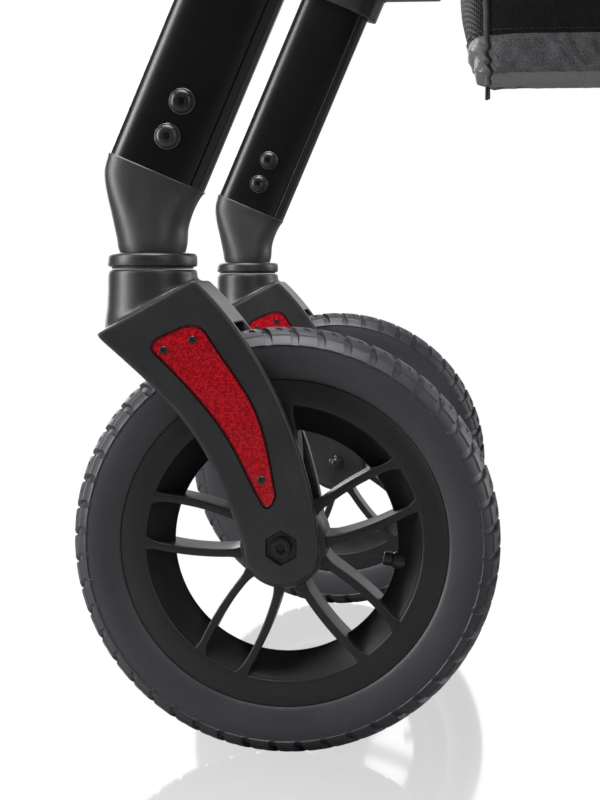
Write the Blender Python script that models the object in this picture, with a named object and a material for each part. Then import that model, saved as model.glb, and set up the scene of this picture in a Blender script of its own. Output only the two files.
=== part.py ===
"""All-terrain walker (rollator): two side frames on 12-inch air wheels, swivelling front forks,
a cross frame that folds the walker sideways, a sling seat with a bag under it, and
height-adjustable handles with cable brakes.

Metres, +Z up. The walker travels along -Y, its left side is at +X, and the origin is on the floor
in the middle. Every left piece is drawn in place, and its right twin is mirrored in X.
"""

import math

import bmesh
import bpy
from mathutils import Matrix, Vector

# Overall sizes
TRACK = 0.560  # between the left and right wheels
WHEELBASE = 0.450  # between the axles, with the casters trailing
LEG_RAKE = math.radians(23.2)
LEG_LENGTH = 0.375
SEAT_RAIL_Z = 0.620
SEAT_RAIL_INSET = 0.036  # from the wheel's plane to the rail

# Clearances
FIT = 0.0003  # between pieces that touch
RUN = 0.0004  # round a shaft that turns
TYRE_GAP = 0.0062  # from the tread to what passes over it

# Wheels
TYRE_DIAMETER = 0.291
TYRE_WIDTH = 0.047
TREAD_FLAT = 0.016
RIM_DIAMETER = 0.222
RIM_WIDTH = 0.038
RIM_BARREL_RADIUS = 0.076
RIM_FACE_RADIUS = 0.0925
RIM_CHANNEL_RADIUS = 0.098
HUB_RADIUS = 0.029
HUB_LENGTH = 0.056
BLADE_PAIRS = 5
BLADE_THICKNESS = 0.0055
BLADE_DEPTH = 0.035
FIRST_PAIR_ANGLE = math.radians(26.4)
VALVE_ANGLE = math.radians(-9.6)
VALVE_STEM_RADIUS = 0.004
VALVE_BASE_RADIUS = 0.0068
WHEEL_FACETS = 24
AXLE_DIAMETER = 0.008
AXLE_HEAD_DIAMETER = 0.0138
NUT_WIDTH = 0.013

# Swivelling front forks
TRAIL = 0.091
ARM_INNER = 0.0285  # from the wheel's plane
ARM_OUTER = 0.0375
ARM_EYE_RADIUS = 0.0255
CROWN_RADIUS = 0.0304
CROWN_TOP_Z = 0.3297
RING_RADIUS = 0.0308
RING_HEIGHT = 0.011
KINGPIN_DIAMETER = 0.012
KINGPIN_TOP_Z = 0.372
LENS_THICKNESS = 0.0022
HEX_POCKET_WIDTH = 0.020
HEX_POCKET_DEPTH = 0.004

# Front legs, elbows and their bolts
LEG_WIDTH = 0.0685
LEG_THICKNESS = 0.034
LEG_WALL = 0.0022
LEG_SQUARENESS = 2.8  # 2 is an ellipse, and higher is squarer
SEAM_Z = 0.395
SEAM_BEHIND_KINGPIN = 0.0034
NECK_RADIUS = 0.0233
SPIGOT_LENGTH = 0.075
LEG_BOLT_PLACES = (0.025, 0.050)
LEG_BOLT_DIAMETER = 0.008
LEG_BOLT_HEAD_DIAMETER = 0.0175
LEG_BOLT_HEAD_HEIGHT = 0.0042

# Joint brackets, frame tubes and rear forks
BRACKET_START = 0.214  # along the leg, from the elbow's seam
BRACKET_LENGTH = 0.086
BRACKET_WALL = 0.0088
BRACKET_SIDE_WALL = 0.0052
FRAME_TUBE_Z = 0.622
FRAME_TUBE_HEIGHT = 0.044
FRAME_TUBE_THICKNESS = 0.030
FRAME_TUBE_WALL = 0.0025
FRAME_TUBE_START_Y = -0.160
FRAME_TUBE_BEND = 0.080
REAR_LEG_RAKE = math.radians(14.7)
SOCKET_WALL = 0.004
SOCKET_END_Y = -0.125
CRADLE_DEPTH = 0.018
CRADLE_HALF_WIDTH = 0.0135
CRADLE_FRONT_Y = -0.203
CRADLE_REAR_Y = -0.150
REAR_ARM_HALF_WIDTH = 0.0205
REAR_CROWN_HEIGHT = 0.033
REAR_SPIGOT_LENGTH = 0.030

# Cross frame
CROSS_HINGE_Z = 0.375
CROSS_PIN_DIAMETER = 0.012
CROSS_BAR_A_Y = 0.134
CROSS_BAR_B_Y = 0.160
CROSS_BAR_WIDTH = 0.026
CROSS_BAR_THICKNESS = 0.016
CROSS_EYE_WIDTH = 0.020
LOW_EYE_WALL = 0.0065
HIGH_EYE_WALL = 0.0036
CROSS_PIVOT_DIAMETER = 0.008
LUG_THICKNESS = 0.010
LUG_HALF_HEIGHT = 0.014

# Seat, its rails and the bag
RAIL_DIAMETER = 0.022
RAIL_WALL = 0.002
RAIL_FRONT_Y = -0.212
RAIL_REAR_Y = 0.174
SEAT_FRONT_Y = -0.145
SEAT_REAR_Y = 0.115
SEAT_THICKNESS = 0.0040
SLEEVE_WALL = 0.0017
BAG_HALF_WIDTH = 0.150  # at its rim, from which its sides fall inwards
BAG_BOTTOM_HALF_WIDTH = 0.056
BAG_FRONT_Y = -0.094
BAG_REAR_Y = 0.105
BAG_BOTTOM_Z = 0.482
BAG_RIM_Z = 0.585
BAG_WALL = 0.004
BAG_FLAP_INSET = 0.010

# Handles and brakes
HANDLE_TUBE_DIAMETER = 0.0254
HANDLE_TUBE_WALL = 0.002
HANDLE_START = 0.200  # along the leg
HANDLE_BEND_START = 0.495
HANDLE_BEND_RADIUS = 0.070
HANDLE_FOOT_LENGTH = 0.030
GRIP_RISE = math.radians(8)
GRIP_LENGTH = 0.125
GRIP_RADIUS = 0.017
HOUSING_LENGTH = 0.038
HOUSING_WIDTH = 0.036
HOUSING_HEIGHT = 0.046
HOUSING_DROP = 0.006
LEVER_PIVOT_ALONG = 0.012
LEVER_PIVOT_DROP = 0.036
LEVER_PIN_DIAMETER = 0.005
LEVER_WIDTH = 0.014
CLAMP_LENGTH = 0.050
CLAMP_OVER_LEG = 0.028
CLAMP_WALL = 0.0050
KNOB_ALONG = LEG_LENGTH + 0.011
KNOB_RADIUS = 0.019
KNOB_LOBES = 5
KNOB_SCREW_DIAMETER = 0.006
BRAKE_PIVOT = (-0.052, 0.176)  # before the rear leg's line, and up it from the axle
BRAKE_PIN_DIAMETER = 0.006
BRAKE_ARM_WIDTH = 0.026
BRAKE_EAR_THICKNESS = 0.005
SHOE_GAP = 0.0060
SHOE_START = 22  # degrees before the rear leg's line
SHOE_END = 38
SHOE_THICKNESS = 0.014
BRAKE_TAIL = -0.0275  # the tail's end, before the rear leg's line
CABLE_DIAMETER = 0.005
CABLE_SPACING = 0.030

# Places that follow from the sizes
HALF_TRACK = TRACK / 2
AXLE_Z = TYRE_DIAMETER / 2
FRONT_AXLE = Vector((HALF_TRACK, -WHEELBASE / 2, AXLE_Z))
REAR_AXLE = Vector((HALF_TRACK, WHEELBASE / 2, AXLE_Z))
KINGPIN_Y = FRONT_AXLE.y - TRAIL
LEG_UP = Vector((0, math.sin(LEG_RAKE), math.cos(LEG_RAKE)))
LEG_BACK = Vector((0, math.cos(LEG_RAKE), -math.sin(LEG_RAKE)))
SEAM = Vector((HALF_TRACK, KINGPIN_Y + SEAM_BEHIND_KINGPIN, SEAM_Z))
REAR_UP = Vector((0, -math.sin(REAR_LEG_RAKE), math.cos(REAR_LEG_RAKE)))
REAR_BACK = Vector((0, math.cos(REAR_LEG_RAKE), math.sin(REAR_LEG_RAKE)))
REAR_CROWN_TOP = AXLE_Z + TYRE_GAP + REAR_CROWN_HEIGHT
RAIL_X = HALF_TRACK - SEAT_RAIL_INSET
SEAT_TOP_Z = SEAT_RAIL_Z + RAIL_DIAMETER / 2 + FIT + SLEEVE_WALL - 0.0004
GRIP_BACK = Vector((0, math.cos(GRIP_RISE), math.sin(GRIP_RISE)))
GRIP_DOWN = Vector((0, math.sin(GRIP_RISE), -math.cos(GRIP_RISE)))
OUTWARD = Vector((1, 0, 0))


# ---------------------------------------------------------------- shapes


def clear_scene():
    for obj in list(bpy.data.objects):
        bpy.data.objects.remove(obj, do_unlink=True)


def on_leg(along, back=0.0):
    """A point on the front leg: along its axis from the elbow's seam, and behind that axis."""
    return SEAM + LEG_UP * along + LEG_BACK * back


def on_rear_leg(before, up):
    """A point in the rear wheel's plane: behind the leg's line (- is before), and up it from the axle."""
    return REAR_AXLE + REAR_BACK * before + REAR_UP * up


def oval(width, thickness, squareness=2.0, count=14):
    """A ring of (across the width, across the thickness) points."""
    ring = []
    for step in range(count):
        angle = 2 * math.pi * (step + 0.5) / count
        cosine, sine = math.cos(angle), math.sin(angle)
        ring.append(
            (
                math.copysign(abs(cosine) ** (2 / squareness), cosine) * width / 2,
                math.copysign(abs(sine) ** (2 / squareness), sine) * thickness / 2,
            )
        )
    return ring


def placed(ring, centre, across, through):
    """The ring's points in space."""
    return [centre + across * a + through * b for a, b in ring]


def round_ring(centre, axis, radius, count=14, lobes=0, lobe_height=0.0):
    """A circle round an axis, with lobes if asked."""
    across = axis.orthogonal().normalized()
    if abs(axis.x) < 0.9:
        across = OUTWARD - axis * axis.dot(OUTWARD)
        across.normalize()
    through = axis.cross(across).normalized()
    points = []
    for step in range(count):
        angle = 2 * math.pi * (step + 0.5) / count
        reach = radius + lobe_height * math.cos(lobes * angle)
        points.append(centre + across * math.cos(angle) * reach + through * math.sin(angle) * reach)
    return points


def loft(rings, closed=False):
    """A solid whose skin runs from ring to ring, capped at its ends, or joined end to end if closed."""
    mesh = bmesh.new()
    loops = [[mesh.verts.new(point) for point in ring] for ring in rings]
    pairs = list(zip(loops, loops[1:]))
    if closed:
        pairs.append((loops[-1], loops[0]))
    for low, high in pairs:
        for i in range(len(low)):
            j = (i + 1) % len(low)
            mesh.faces.new((low[i], low[j], high[j], high[i]))
    if not closed:
        mesh.faces.new(loops[0])
        mesh.faces.new(loops[-1])
    face_outwards(mesh)
    return mesh


def face_outwards(mesh):
    """Turns the faces of a closed mesh so that they all point out of it."""
    bmesh.ops.recalc_face_normals(mesh, faces=mesh.faces)
    if mesh.calc_volume(signed=True) < 0:
        bmesh.ops.reverse_faces(mesh, faces=mesh.faces)


def rod(start, end, radius, count=12):
    axis = (end - start).normalized()
    return loft([round_ring(start, axis, radius, count), round_ring(end, axis, radius, count)])


def hole(start, end, radius, count=12):
    """A round cutter whose flats are at the radius, so that a pin of that radius passes."""
    return rod(start, end, radius / math.cos(math.pi / count), count)


def box(low, high):
    (x0, y0, z0), (x1, y1, z1) = low, high
    corners = ((x0, y0), (x1, y0), (x1, y1), (x0, y1))
    return loft([[Vector((x, y, z)) for x, y in corners] for z in (z0, z1)])


def plate(outline, inner, outer, centre=Vector((0, 0, 0))):
    """An outline of (y, z) points made a plate between two distances along X from the centre."""
    return loft([[centre + Vector((x, y, z)) for y, z in outline] for x in (inner, outer)])


def turned(profile, centre, count=WHEEL_FACETS):
    """A closed profile of (radius, along X) points turned round an axle. Radii are to the flats, and one
    flat faces the floor."""
    rings = []
    for radius, along in profile:
        reach = radius / math.cos(math.pi / count)
        angles = [2 * math.pi * (step + 0.5) / count + math.pi / 2 for step in range(count)]
        rings.append(
            [centre + Vector((along, reach * math.cos(a), reach * math.sin(a))) for a in angles]
        )
    return loft(rings, closed=True)


def bezier(start, first, second, end, steps):
    points = []
    for step in range(steps + 1):
        t = step / steps
        weights = ((1 - t) ** 3, 3 * t * (1 - t) ** 2, 3 * t * t * (1 - t), t**3)
        points.append(
            tuple(
                sum(w * p[axis] for w, p in zip(weights, (start, first, second, end)))
                for axis in (0, 1)
            )
        )
    return points


def arc(centre, radius, start, end, steps):
    """Points on a circle between two angles in degrees, both ends included."""
    angles = [math.radians(start + (end - start) * step / steps) for step in range(steps + 1)]
    return [(centre[0] + radius * math.cos(a), centre[1] + radius * math.sin(a)) for a in angles]


def grown(outline, margin):
    """The outline moved outwards by a margin."""
    area = sum(a[0] * b[1] - b[0] * a[1] for a, b in zip(outline, outline[1:] + outline[:1]))
    turn = 1 if area > 0 else -1
    moved = []
    for i, (x, y) in enumerate(outline):
        before, after = outline[i - 1], outline[(i + 1) % len(outline)]
        along = Vector((after[0] - before[0], after[1] - before[1])).normalized()
        moved.append((x + turn * along.y * margin, y - turn * along.x * margin))
    return moved


def helper_object(mesh):
    data = bpy.data.meshes.new("shape")
    mesh.to_mesh(data)
    obj = bpy.data.objects.new("shape", data)
    obj.hide_render = True
    obj.display_type = "WIRE"
    bpy.context.scene.collection.objects.link(obj)
    return obj


def carved(body, added=(), removed=()):
    """The body with some shapes united to it and others cut from it."""
    work = helper_object(body)
    helpers = []
    for shapes, operation in ((added, "UNION"), (removed, "DIFFERENCE")):
        for shape in shapes:
            helper = helper_object(shape)
            modifier = work.modifiers.new(operation.lower(), "BOOLEAN")
            modifier.operation = operation
            modifier.solver = "EXACT"
            modifier.object = helper
            helpers.append(helper)
    bpy.context.view_layer.update()
    result = bmesh.new()
    result.from_object(work, bpy.context.evaluated_depsgraph_get())
    for obj in [work] + helpers:
        bpy.data.objects.remove(obj, do_unlink=True)
    return result


def swept_tube(path, section, hollow):
    """A bent tube in a plane of constant X. path holds (centre, direction) pairs, and the two
    sections are rings of the same count."""
    outer, inner = [], []
    for centre, direction in path:
        across = OUTWARD.cross(direction).normalized()
        outer.append(placed(section, centre, across, OUTWARD))
        inner.append(placed(hollow, centre, across, OUTWARD))
    return loft(outer + inner[::-1], closed=True)


# ---------------------------------------------------------------- nodes


FINISHES = {
    "tube": ((0.016, 0.016, 0.018), 0.32, 0.6),
    "plastic": ((0.022, 0.022, 0.024), 0.62, 0.0),
    "bolt": ((0.010, 0.010, 0.011), 0.25, 0.8),
    "lens": ((0.55, 0.005, 0.015), 0.12, 0.0),
    "tyre": ((0.050, 0.055, 0.062), 0.80, 0.0),
    "rubber": ((0.020, 0.020, 0.021), 0.85, 0.0),
    "fabric": ((0.018, 0.018, 0.020), 0.90, 0.0),
}


def material(name, finish):
    colour, roughness, metallic = FINISHES[finish]
    made = bpy.data.materials.new(name)
    made.use_nodes = True
    shader = made.node_tree.nodes["Principled BSDF"]
    shader.inputs["Base Color"].default_value = (*colour, 1)
    shader.inputs["Roughness"].default_value = roughness
    shader.inputs["Metallic"].default_value = metallic
    return made


def node(name, mesh, finish, origin=Vector((0, 0, 0)), side=1):
    """Makes one node. Its origin is a point on its joint's axis, given on the left like the mesh."""
    mesh = mesh.copy()
    mesh.transform(Matrix.Translation(-origin))
    if side < 0:
        mesh.transform(Matrix.Diagonal((-1, 1, 1, 1)))
    face_outwards(mesh)
    data = bpy.data.meshes.new(name)
    mesh.to_mesh(data)
    data.shade_smooth()
    data.set_sharp_from_angle(angle=math.radians(35))
    data.materials.append(material(name, finish))
    obj = bpy.data.objects.new(name, data)
    obj.location = Vector((side * origin.x, origin.y, origin.z))
    bpy.context.scene.collection.objects.link(obj)
    return obj


def pair(name, mesh, finish, origin=Vector((0, 0, 0))):
    """The left and right copies of one piece."""
    for side, word in ((1, "left"), (-1, "right")):
        node(f"{name}_{word}", mesh, finish, origin, side)


# ---------------------------------------------------------------- wheels


def tyre_profile():
    """Half of the tyre's section, from the bead's toe over the tread to the middle, then the air space."""
    outer = [
        (RIM_CHANNEL_RADIUS + 0.0010, 0.0060),
        (RIM_CHANNEL_RADIUS + 0.0010, 0.0120),
        (RIM_DIAMETER / 2 + 0.0008, RIM_WIDTH / 2 - 0.0036),
        (RIM_DIAMETER / 2 + 0.0008, RIM_WIDTH / 2 + 0.0006),
        (TYRE_DIAMETER / 2 - 0.0155, TYRE_WIDTH / 2),
        (TYRE_DIAMETER / 2 - 0.0055, TYRE_WIDTH / 2 - 0.0050),
        (TYRE_DIAMETER / 2, TREAD_FLAT / 2),
    ]
    hollow = [
        (TYRE_DIAMETER / 2 - 0.0045, TREAD_FLAT / 2 - 0.0010),
        (TYRE_DIAMETER / 2 - 0.0200, TYRE_WIDTH / 2 - 0.0050),
    ]
    return outer, hollow


def tyre(centre):
    outer, hollow = tyre_profile()
    mirrored = [(radius, -along) for radius, along in reversed(outer)]
    hollow_mirrored = [(radius, -along) for radius, along in reversed(hollow)]
    return turned(outer + mirrored + hollow_mirrored + hollow, centre)


def blade(pair_angle, hand):
    """One spoke blade: a strip that bows away from its twin, embedded in the hub and in the ring."""
    start, end = HUB_RADIUS - 0.004, RIM_FACE_RADIUS + 0.002
    left, right = [], []
    steps = 3
    for step in range(steps + 1):
        t = step / steps
        radius = start + (end - start) * t
        offset = 0.0102 + 0.0055 * t + 0.013 * t * (1 - t)
        for edge, side in ((left, 1), (right, -1)):
            lateral = hand * (offset + side * BLADE_THICKNESS / 2)
            edge.append(
                (
                    radius * math.cos(pair_angle) - lateral * math.sin(pair_angle),
                    radius * math.sin(pair_angle) + lateral * math.cos(pair_angle),
                )
            )
    return left + right[::-1]


def rim(centre, with_valve_hole):
    half = RIM_WIDTH / 2
    profile = [
        (RIM_DIAMETER / 2, half),
        (RIM_CHANNEL_RADIUS, half - 0.0060),
        (RIM_CHANNEL_RADIUS, 0.0060 - half),
        (RIM_DIAMETER / 2, -half),
        (RIM_FACE_RADIUS, -half),
        (RIM_BARREL_RADIUS, -0.0030),
        (RIM_BARREL_RADIUS, 0.0030),
        (RIM_FACE_RADIUS, half),
    ]
    hub_end = HUB_LENGTH / 2
    bore = AXLE_DIAMETER / 2 + RUN
    hub_profile = [(HUB_RADIUS, hub_end), (HUB_RADIUS, -hub_end), (bore, -hub_end), (bore, hub_end)]
    hub = turned(hub_profile, centre, 16)
    blades = []
    for number in range(BLADE_PAIRS):
        angle = FIRST_PAIR_ANGLE + 2 * math.pi * number / BLADE_PAIRS
        for hand in (1, -1):
            blades.append(plate(blade(angle, hand), -BLADE_DEPTH / 2, BLADE_DEPTH / 2, centre))
    removed = []
    if with_valve_hole:
        removed.append(
            hole(along_valve(centre, 0.060), along_valve(centre, 0.105), VALVE_STEM_RADIUS + FIT, 8)
        )
    return carved(turned(profile, centre), [hub] + blades, removed)


def along_valve(centre, radius):
    return centre + Vector((0, radius * math.cos(VALVE_ANGLE), radius * math.sin(VALVE_ANGLE)))


def valve(centre):
    axis = along_valve(Vector((0, 0, 0)), 1.0)
    barrel = RIM_BARREL_RADIUS - FIT - 0.0002
    places = (
        (RIM_CHANNEL_RADIUS - 0.001, VALVE_STEM_RADIUS),
        (barrel, VALVE_STEM_RADIUS),
        (barrel, VALVE_BASE_RADIUS),
        (barrel - 0.003, VALVE_BASE_RADIUS - 0.0008),
        (barrel - 0.003, VALVE_STEM_RADIUS),
        (barrel - 0.008, VALVE_STEM_RADIUS),
    )
    return loft([round_ring(along_valve(centre, r), axis, size, 12) for r, size in places])


def nut_ring(centre, width):
    """Twelve points on a hexagon round an axle."""
    points = []
    for step in range(12):
        angle = math.radians(30 * step)
        reach = width / 2 if step % 2 else width / 2 / math.cos(math.radians(30))
        points.append(centre + Vector((0, reach * math.cos(angle), reach * math.sin(angle))))
    return points


def axle(centre, head_face):
    """A through bolt: its head stands on head_face, its domed nut on the inboard arm."""
    def ring(along, radius):
        points = [math.radians(30 * step) for step in range(12)]
        return [centre + Vector((along, radius * math.cos(a), radius * math.sin(a))) for a in points]

    nut_face = -ARM_OUTER - FIT
    head = AXLE_HEAD_DIAMETER / 2
    shank = AXLE_DIAMETER / 2
    rings = [
        ring(head_face + 0.005, head * 0.85),
        ring(head_face + 0.004, head),
        ring(head_face, head),
        ring(head_face, shank),
        ring(nut_face, shank),
        nut_ring(centre + OUTWARD * nut_face, NUT_WIDTH),
        nut_ring(centre + OUTWARD * (nut_face - 0.0065), NUT_WIDTH),
        ring(nut_face - 0.0065, NUT_WIDTH * 0.45),
        ring(nut_face - 0.0105, NUT_WIDTH * 0.30),
    ]
    return loft(rings)


def make_wheels():
    pair("front_tyre", tyre(FRONT_AXLE), "tyre", FRONT_AXLE)
    pair("front_rim", rim(FRONT_AXLE, True), "plastic", FRONT_AXLE)
    pair("front_valve", valve(FRONT_AXLE), "rubber", FRONT_AXLE)
    pair("front_axle", axle(FRONT_AXLE, ARM_OUTER - HEX_POCKET_DEPTH + FIT), "bolt", FRONT_AXLE)
    pair("rear_tyre", tyre(REAR_AXLE), "tyre", REAR_AXLE)
    pair("rear_rim", rim(REAR_AXLE, False), "plastic", REAR_AXLE)
    pair("rear_axle", axle(REAR_AXLE, ARM_OUTER + FIT), "bolt", REAR_AXLE)


# ---------------------------------------------------------------- front forks


ARM_TIP = (-0.123, 0.1415)  # (y, z) from the axle, where the shoulder meets the crown in front
ARM_SHOULDER = (-0.058, 0.1775)  # where it meets the crown behind


def arm_outline():
    front = bezier((-0.121, 0.138), (-0.066, 0.090), (-0.050, 0.075), (-ARM_EYE_RADIUS, 0), 7)
    eye = arc((0, 0), ARM_EYE_RADIUS, 180, 360, 8)
    rear = bezier((ARM_EYE_RADIUS, 0), (0.0185, 0.081), (-0.023, 0.1465), ARM_SHOULDER, 7)
    return [ARM_TIP] + front[:-1] + eye + rear[1:]


def lens_outline():
    """The reflector follows the arm: a blade shape, wide at the shoulder and narrow above the axle."""
    front = bezier((-0.0857, 0.1299), (-0.027, 0.074), (-0.0305, 0.058), (-0.0125, 0.0285), 6)
    rear = bezier((-0.0033, 0.0343), (-0.014, 0.101), (-0.018, 0.0935), (-0.0505, 0.1438), 6)
    foot = [(-0.0085, 0.0265)]
    head = [(-0.0580, 0.1472), (-0.0657, 0.1461), (-0.0811, 0.1392), (-0.0857, 0.1338)]
    return front + foot + rear + head


def caster_fork():
    kingpin = Vector((HALF_TRACK, KINGPIN_Y, 0))
    up = Vector((0, 0, 1))
    body = plate(arm_outline(), -ARM_OUTER, ARM_OUTER, FRONT_AXLE)
    crown = rod(kingpin + up * (AXLE_Z + 0.1430), kingpin + up * CROWN_TOP_Z, CROWN_RADIUS, 20)
    pin = rod(kingpin + up * (CROWN_TOP_Z - 0.005), kingpin + up * KINGPIN_TOP_Z, KINGPIN_DIAMETER / 2)
    pocket = turned_disc(FRONT_AXLE, TYRE_DIAMETER / 2 + TYRE_GAP, ARM_INNER, 48)
    end = OUTWARD * 0.05
    axle_hole = hole(FRONT_AXLE - end, FRONT_AXLE + end, AXLE_DIAMETER / 2 + FIT)
    hexagon = arc((0, 0), HEX_POCKET_WIDTH / 2 / math.cos(math.radians(30)), 0, 300, 5)
    hex_pocket = plate(hexagon, ARM_OUTER - HEX_POCKET_DEPTH, ARM_OUTER + 0.01, FRONT_AXLE)
    recess = grown(lens_outline(), FIT)
    floor = ARM_OUTER - LENS_THICKNESS
    recesses = [
        plate(recess, side * floor, side * (ARM_OUTER + 0.01), FRONT_AXLE) for side in (1, -1)
    ]
    return carved(body, [crown, pin], [pocket, axle_hole, hex_pocket] + recesses)


def turned_disc(centre, radius, half_width, count):
    """A disc round an axle whose flats are at the radius."""
    reach = radius / math.cos(math.pi / count)
    angles = [2 * math.pi * (step + 0.5) / count for step in range(count)]
    outline = [(reach * math.cos(a), reach * math.sin(a)) for a in angles]
    return plate(outline, -half_width, half_width, centre)


def make_front_forks():
    kingpin = Vector((HALF_TRACK, KINGPIN_Y, CROWN_TOP_Z))
    pair("caster_fork", caster_fork(), "plastic", kingpin)
    low, high = ARM_OUTER - LENS_THICKNESS + FIT, ARM_OUTER + 0.0004
    pair("reflector_outer", plate(lens_outline(), low, high, FRONT_AXLE), "lens", kingpin)
    pair("reflector_inner", plate(lens_outline(), -high, -low, FRONT_AXLE), "lens", kingpin)
    bore = KINGPIN_DIAMETER / 2 + RUN
    low = CROWN_TOP_Z + FIT
    high = low + RING_HEIGHT
    sizes = [(bore, low), (RING_RADIUS, low), (RING_RADIUS, high), (bore, high)]
    up = Vector((0, 0, 1))
    axis = Vector((HALF_TRACK, KINGPIN_Y, 0))
    ring = loft([round_ring(axis + up * z, up, radius, 20) for radius, z in sizes], closed=True)
    pair("bearing_ring", ring, "plastic")


# ---------------------------------------------------------------- front legs


def elbow():
    """A moulded end: round at the swivel, oval at the tube, with a spigot inside the tube."""
    up = Vector((0, 0, 1))
    neck_z = CROWN_TOP_Z + RING_HEIGHT + 2 * FIT
    axis = Vector((HALF_TRACK, KINGPIN_Y, 0))
    bore = KINGPIN_DIAMETER + 2 * RUN
    bore_ring = oval(bore, bore)
    back = Vector((0, 1, 0))
    rings = [
        placed(bore_ring, axis + up * (KINGPIN_TOP_Z + 0.002), back, OUTWARD),
        placed(bore_ring, axis + up * neck_z, back, OUTWARD),
    ]
    start, end = axis + up * neck_z, on_leg(-FIT)
    steps = 4
    for step in range(steps + 1):
        t = step / steps
        ease = t * t * (3 - 2 * t)
        tilt = LEG_RAKE * ease
        centre = Vector(
            (HALF_TRACK, start.y + (end.y - start.y) * t * t, start.z + (end.z - start.z) * t)
        )
        across = Vector((0, math.cos(tilt), -math.sin(tilt)))
        width = 2 * NECK_RADIUS + (LEG_WIDTH - 2 * NECK_RADIUS) * ease
        thickness = 2 * NECK_RADIUS + (LEG_THICKNESS - 2 * NECK_RADIUS) * ease
        section = oval(width, thickness, 2 + (LEG_SQUARENESS - 2) * ease)
        rings.append(placed(section, centre, across, OUTWARD))
    inside = 2 * (LEG_WALL + FIT)
    spigot = oval(LEG_WIDTH - inside, LEG_THICKNESS - inside, LEG_SQUARENESS)
    rings.append(placed(spigot, on_leg(-FIT), LEG_BACK, OUTWARD))
    rings.append(placed(spigot, on_leg(SPIGOT_LENGTH), LEG_BACK, OUTWARD))
    return carved(loft(rings), removed=leg_bolt_holes())


def leg_bolt_holes():
    reach = OUTWARD * 0.05
    radius = LEG_BOLT_DIAMETER / 2 + FIT
    return [hole(on_leg(s) - reach, on_leg(s) + reach, radius, 8) for s in LEG_BOLT_PLACES]


def leg_bolt(along):
    """A through bolt with a button head at each end."""
    centre = on_leg(along)
    seat = LEG_THICKNESS / 2 + FIT
    top = seat + LEG_BOLT_HEAD_HEIGHT
    head, shank = LEG_BOLT_HEAD_DIAMETER / 2, LEG_BOLT_DIAMETER / 2
    half = [(top, head * 0.55), (seat + 0.0012, head), (seat, head), (seat, shank)]
    sizes = half + [(-along_x, radius) for along_x, radius in reversed(half)]
    return loft([round_ring(centre + OUTWARD * x, OUTWARD, radius, 12) for x, radius in sizes])


def front_leg():
    path = [(on_leg(0), LEG_UP), (on_leg(LEG_LENGTH), LEG_UP)]
    inside = 2 * LEG_WALL
    tube = swept_tube(
        path,
        oval(LEG_WIDTH, LEG_THICKNESS, LEG_SQUARENESS),
        oval(LEG_WIDTH - inside, LEG_THICKNESS - inside, LEG_SQUARENESS),
    )
    return carved(tube, removed=leg_bolt_holes())


def leg_section(margin):
    return oval(LEG_WIDTH + 2 * margin, LEG_THICKNESS + 2 * margin, LEG_SQUARENESS)


def joint_bracket():
    """A sleeve round the leg, with the frame tube's socket behind and the seat rail's cradle inboard."""
    start, end = BRACKET_START, BRACKET_START + BRACKET_LENGTH
    outer = oval(
        LEG_WIDTH + 2 * BRACKET_WALL, LEG_THICKNESS + 2 * BRACKET_SIDE_WALL, LEG_SQUARENESS
    )
    sleeve = loft([placed(outer, on_leg(s), LEG_BACK, OUTWARD) for s in (start, end)])
    up = Vector((0, 0, 1))
    socket = oval(
        FRAME_TUBE_HEIGHT + 2 * SOCKET_WALL, FRAME_TUBE_THICKNESS + 2 * SOCKET_WALL, LEG_SQUARENESS
    )
    bore = oval(FRAME_TUBE_HEIGHT + 2 * FIT, FRAME_TUBE_THICKNESS + 2 * FIT, LEG_SQUARENESS)

    def at(y):
        return Vector((HALF_TRACK, y, FRAME_TUBE_Z))

    socket_start = FRAME_TUBE_START_Y - 0.045
    block = loft([placed(socket, at(y), up, OUTWARD) for y in (socket_start, SOCKET_END_Y)])
    tube_bore = loft(
        [placed(bore, at(y), up, OUTWARD) for y in (FRAME_TUBE_START_Y - FIT, SOCKET_END_Y + 0.01)]
    )
    cradle_top = SEAT_RAIL_Z - 0.002
    cradle = box(
        (RAIL_X - CRADLE_HALF_WIDTH, CRADLE_FRONT_Y, cradle_top - CRADLE_DEPTH),
        (HALF_TRACK - LEG_THICKNESS / 2 - 0.0015, CRADLE_REAR_Y, cradle_top),
    )
    rail_way = hole(
        Vector((RAIL_X, CRADLE_FRONT_Y - 0.01, SEAT_RAIL_Z)),
        Vector((RAIL_X, CRADLE_REAR_Y + 0.01, SEAT_RAIL_Z)),
        RAIL_DIAMETER / 2 + 2 * FIT,
        16,
    )
    leg_way = loft(
        [placed(leg_section(FIT), on_leg(s), LEG_BACK, OUTWARD) for s in (start - 0.03, end + 0.03)]
    )
    return carved(sleeve, [block, cradle], [leg_way, tube_bore, rail_way])


def make_front_legs():
    pair("elbow", elbow(), "plastic")
    pair("front_leg", front_leg(), "tube")
    for word, along in zip(("lower", "upper"), LEG_BOLT_PLACES):
        pair(f"leg_bolt_{word}", leg_bolt(along), "bolt")
    pair("joint_bracket", joint_bracket(), "plastic")


# ---------------------------------------------------------------- rear frame


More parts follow.
